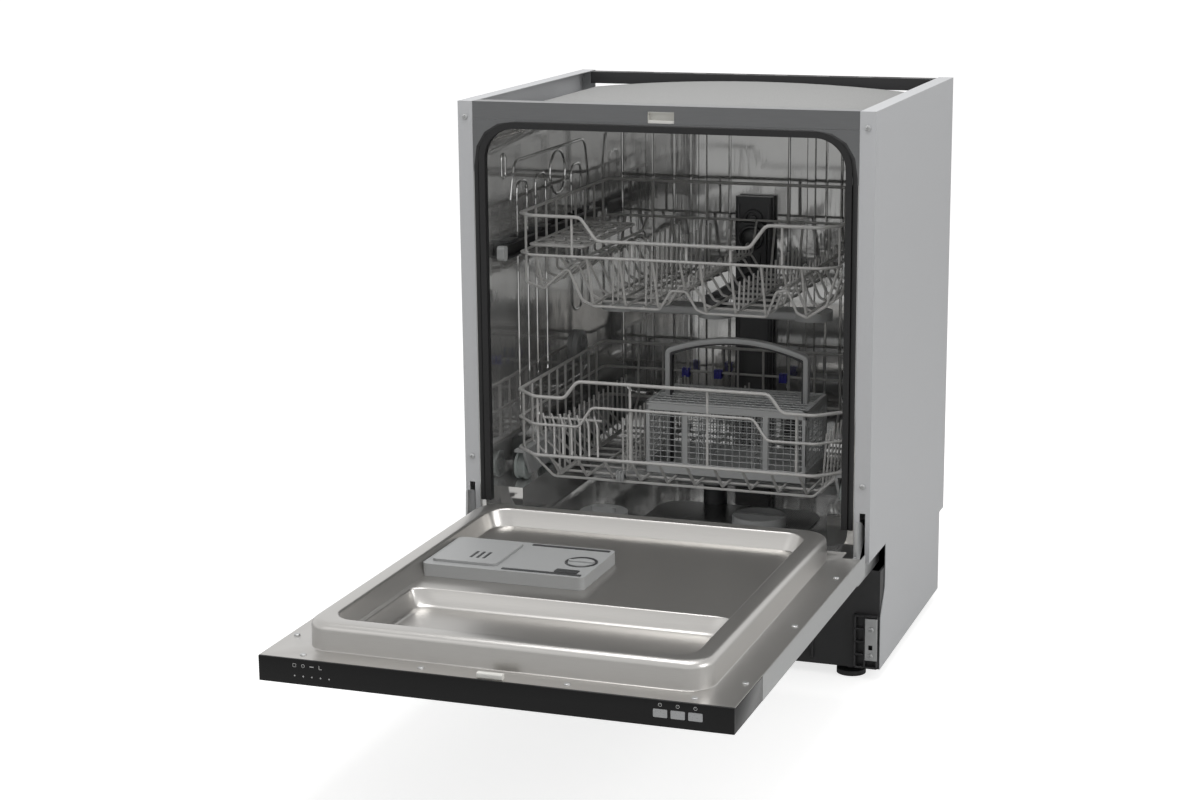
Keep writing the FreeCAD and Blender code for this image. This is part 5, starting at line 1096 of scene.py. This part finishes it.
def screw(place, radius):
    """A pan-head screw facing the front, with a cross recess."""
    rings = ((0, 0.55), (0.02, 0.6), (-0.9, 1), (-1.6, 0.96), (-2.1, 0.75), (-2.3, 0.4))
    head = turned(place, "y", [(offset, radius * share) for offset, share in rings], 20)
    x, y, z = place
    arm, slot = radius * 0.58, radius * 0.15
    for wide, tall in ((arm, slot), (slot, arm)):
        cut(head, slab((x - wide, y - 4, z - tall), (x + wide, y - 1.0, z + tall)))
    return head


class DISHWASHER_OT_fasteners(bpy.types.Operator):
    """Set the screws of the panels' flanges and of the door's edges"""

    bl_idname = "dishwasher.fasteners"
    bl_label = "Fasteners"

    def execute(self, context):
        radius = sizes().screw_head / MM / 2
        face = span("right_side_panel")[0].y - 0.05
        places = [(side * 288.0, face, z) for side in (-1, 1) for z in (793.0, 303.0)]
        finish(join([screw(place, radius) for place in places]), "flange_screws", "cabinet", "rail_steel")

        low, high = span("door_inner_liner")
        plane, front = span("control_strip")[1].z, low.y + 14
        rings = [(0, radius), (0.9, radius), (1.7, radius * 0.8), (1.8, radius * 0.3)]
        head = turned((0, 0, 0), "z", rings, 20)
        spots = [(287.0, y) for y in (low.y + 80, low.y + 300, high.y - 120)]
        spots += [(246.0, front), (92.0, front)]
        heads = [copy(head, (side * x, y, plane)) for side in (-1, 1) for x, y in spots]
        bpy.data.objects.remove(head)
        finish(join(heads), "door_screws", "door", "rail_steel")
        return {"FINISHED"}


class DISHWASHER_OT_base_trim(bpy.types.Operator):
    """Add the ribbed corner brackets of the base, with their zinc plates"""

    bl_idname = "dishwasher.base_trim"
    bl_label = "Base Trim"

    def execute(self, context):
        low, high = span("base_tray")
        face, depth, rib = low.y, 9.0, 3
        front, rear = face - depth, face + 1
        inner, outer, foot, top = 262.0, 296.4, 17, 96
        # A ribbed cell block at the right, and the same mirrored at the left.
        cells = [slab((inner, face - 2, foot), (outer, rear, top), 0.8)]
        for x in (inner, (inner + outer) / 2 - rib, outer - rib):
            cells.append(slab((x, front, foot), (x + rib, face, top), 0.8, 1))
        for z in (17, 36, 55, 74, 93):
            cells.append(slab((inner, front, z), (outer, face, z + rib), 0.8, 1))
        block = join(cells)
        pieces = [block, copy(block, flip=True)]
        # Upright ribs along the front, under one long bar.
        for x in range(-200, 201, 50):
            pieces.append(slab((x - 2, face - 4, 24), (x + 2, rear, high.z - 8), 0.8, 1))
        pieces.append(slab((-230, face - 6, high.z - 14), (230, rear, high.z - 6), 1.2))
        finish(join(pieces), "base_brackets", "cabinet", "base_plastic")

        # A zinc plate with a square hole and two screws ties each block to its side panel.
        tie = slab((279, front - 1.6, 30), (outer, front + 0.2, 92), 0.4, 1)
        cut(tie, slab((284, front - 4, 46), (290, front + 4, 53)))
        radius, seat = sizes().screw_head / MM / 2, front - 1.5
        plate = join([tie, screw((288, seat, 76), radius), screw((287.5, seat, 37), radius)])
        finish(join([plate, copy(plate, flip=True)]), "base_ties", "cabinet", "rail_steel")
        return {"FINISHED"}


def seen_ray(tree, mirrored=1.0):
    """1 on rays to the eye, mirrored on those in a mirror or through glass, 0 on those that light things."""
    rays = node(tree, "ShaderNodeLightPath").outputs
    largest = rays["Is Camera Ray"]
    for name in ("Is Glossy Ray", "Is Transmission Ray"):
        share = maths(tree, "MULTIPLY", rays[name], mirrored)
        largest = maths(tree, "MAXIMUM", largest, share)
    return largest


# Soft lamps: name, place, aim, side of the square in metres and power in watts.
LAMPS = (
    ("key_lamp", (3.3, -0.8, 1.9), (0, 0, 0.45), 1.7, 34.0),
    ("fill_lamp", (-2.0, -3.0, 1.9), (0, 0, 0.4), 1.6, 3.5),
    ("top_lamp", (0.0, -0.5, 2.8), (0, -0.1, 0.4), 1.5, 34.0),
)
# The camera at the photograph's viewing angle: its place, axes, focal length and sensor's width.
CAMERA_PLACE = (1.00286, -3.00855, 1.14499)
CAMERA_RIGHT = (0.942898, 0.332959, -0.009059)
CAMERA_DOWN = (0.065767, -0.212769, -0.974887)
CAMERA_AHEAD = (-0.326525, 0.918622, -0.222518)
CAMERA_LENS, CAMERA_SENSOR = 71.33, 36.0


class DISHWASHER_OT_stage(bpy.types.Operator):
    """Set the floor, the soft lights and the camera"""

    bl_idname = "dishwasher.stage"
    bl_label = "Stage"

    def execute(self, context):
        scene, white = context.scene, (1.0, 1.0, 1.0, 1.0)
        clear()
        bpy.ops.mesh.primitive_plane_add(size=60.0, location=(0, 0, 0))
        floor = bpy.context.object
        floor.name = "studio_floor"
        # Studio paper: matt and even, so that it takes only the shadow.
        material = bpy.data.materials.new("studio_paper")
        material.use_nodes = True
        tree = material.node_tree
        shader = tree.nodes["Principled BSDF"]
        shader.inputs["Base Color"].default_value = (*colours().floor, 1.0)
        shader.inputs["Roughness"].default_value = 0.9
        shader.inputs["Specular IOR Level"].default_value = 0.1
        # The paper glows to the eye until it is white, far less in mirrors, and keeps its shadow.
        shader.inputs["Emission Color"].default_value = white
        glow = remap(tree, seen_ray(tree, 0.15), 0.0, 0.74)
        tree.links.new(shader.inputs["Emission Strength"], glow)
        floor.data.materials.append(material)

        world = bpy.data.worlds.new("studio")
        scene.world = world
        world.use_nodes = True
        tree = world.node_tree
        background = tree.nodes["Background"]
        background.inputs["Color"].default_value = white
        level = remap(tree, seen_ray(tree), 0.62, 1.0)
        # The studio's ceiling is dimmer than its walls, so that metal shows a dark and a light side.
        way = node(tree, "ShaderNodeTexCoord")
        height = node(tree, "ShaderNodeSeparateXYZ", Vector=way.outputs["Generated"])
        ceiling = remap(tree, height.outputs["Z"], 1.0, 0.9, 0.25, 0.75)
        strength = maths(tree, "MULTIPLY", level, ceiling)
        tree.links.new(background.inputs["Strength"], strength)

        for name, place, aim, side, power in LAMPS:
            lamp = bpy.data.lights.new(name, "AREA")
            lamp.shape = "SQUARE"
            lamp.size = side
            lamp.energy = power
            obj = bpy.data.objects.new(name, lamp)
            scene.collection.objects.link(obj)
            obj.location = place
            obj.rotation_euler = (Vector(aim) - Vector(place)).to_track_quat("-Z", "Y").to_euler()

        camera = bpy.data.cameras.new("photo_camera")
        camera.sensor_width = CAMERA_SENSOR
        camera.lens = CAMERA_LENS
        obj = bpy.data.objects.new("photo_camera", camera)
        scene.collection.objects.link(obj)
        axes = Vector(CAMERA_RIGHT), -Vector(CAMERA_DOWN), -Vector(CAMERA_AHEAD)
        turn = Matrix(axes).transposed().to_4x4()
        turn.translation = CAMERA_PLACE
        obj.matrix_world = turn
        scene.camera = obj
        scene.view_settings.view_transform = "Standard"
        return {"FINISHED"}


OPERATORS = (
    DISHWASHER_OT_stage,
    DISHWASHER_OT_finishes,
    DISHWASHER_OT_lower_rack,
    DISHWASHER_OT_tine_clips,
    DISHWASHER_OT_rack_wheels,
    DISHWASHER_OT_cutlery,
    DISHWASHER_OT_upper_rack,
    DISHWASHER_OT_door_liner,
    DISHWASHER_OT_dispenser,
    DISHWASHER_OT_control_strip,
    DISHWASHER_OT_tub_pressings,
    DISHWASHER_OT_tub_fittings,
    DISHWASHER_OT_mouth,
    DISHWASHER_OT_fasteners,
    DISHWASHER_OT_base_trim,
)


class DISHWASHER_PT_panel(bpy.types.Panel):
    """The dishwasher's sizes, colours and pieces"""

    bl_label = "Dishwasher"
    bl_idname = "DISHWASHER_PT_panel"
    bl_space_type = "VIEW_3D"
    bl_region_type = "UI"
    bl_category = "Dishwasher"

    def draw(self, context):
        for group in (context.scene.dishwasher_sizes, context.scene.dishwasher_colours):
            for name in group.__annotations__:
                self.layout.prop(group, name)
        for operator in OPERATORS:
            self.layout.operator(operator.bl_idname)


CLASSES = (DishwasherColours, DishwasherSizes, *OPERATORS, DISHWASHER_PT_panel)


def register():
    for item in CLASSES:
        bpy.utils.register_class(item)
    bpy.types.Scene.dishwasher_colours = PointerProperty(type=DishwasherColours)
    bpy.types.Scene.dishwasher_sizes = PointerProperty(type=DishwasherSizes)


def unregister():
    del bpy.types.Scene.dishwasher_sizes
    del bpy.types.Scene.dishwasher_colours
    for item in reversed(CLASSES):
        bpy.utils.unregister_class(item)


def main():
    register()
    for operator in OPERATORS:
        name = operator.bl_idname.split(".")[1]
        getattr(bpy.ops.dishwasher, name)()
    clear()


if __name__ == "__main__":
    main()
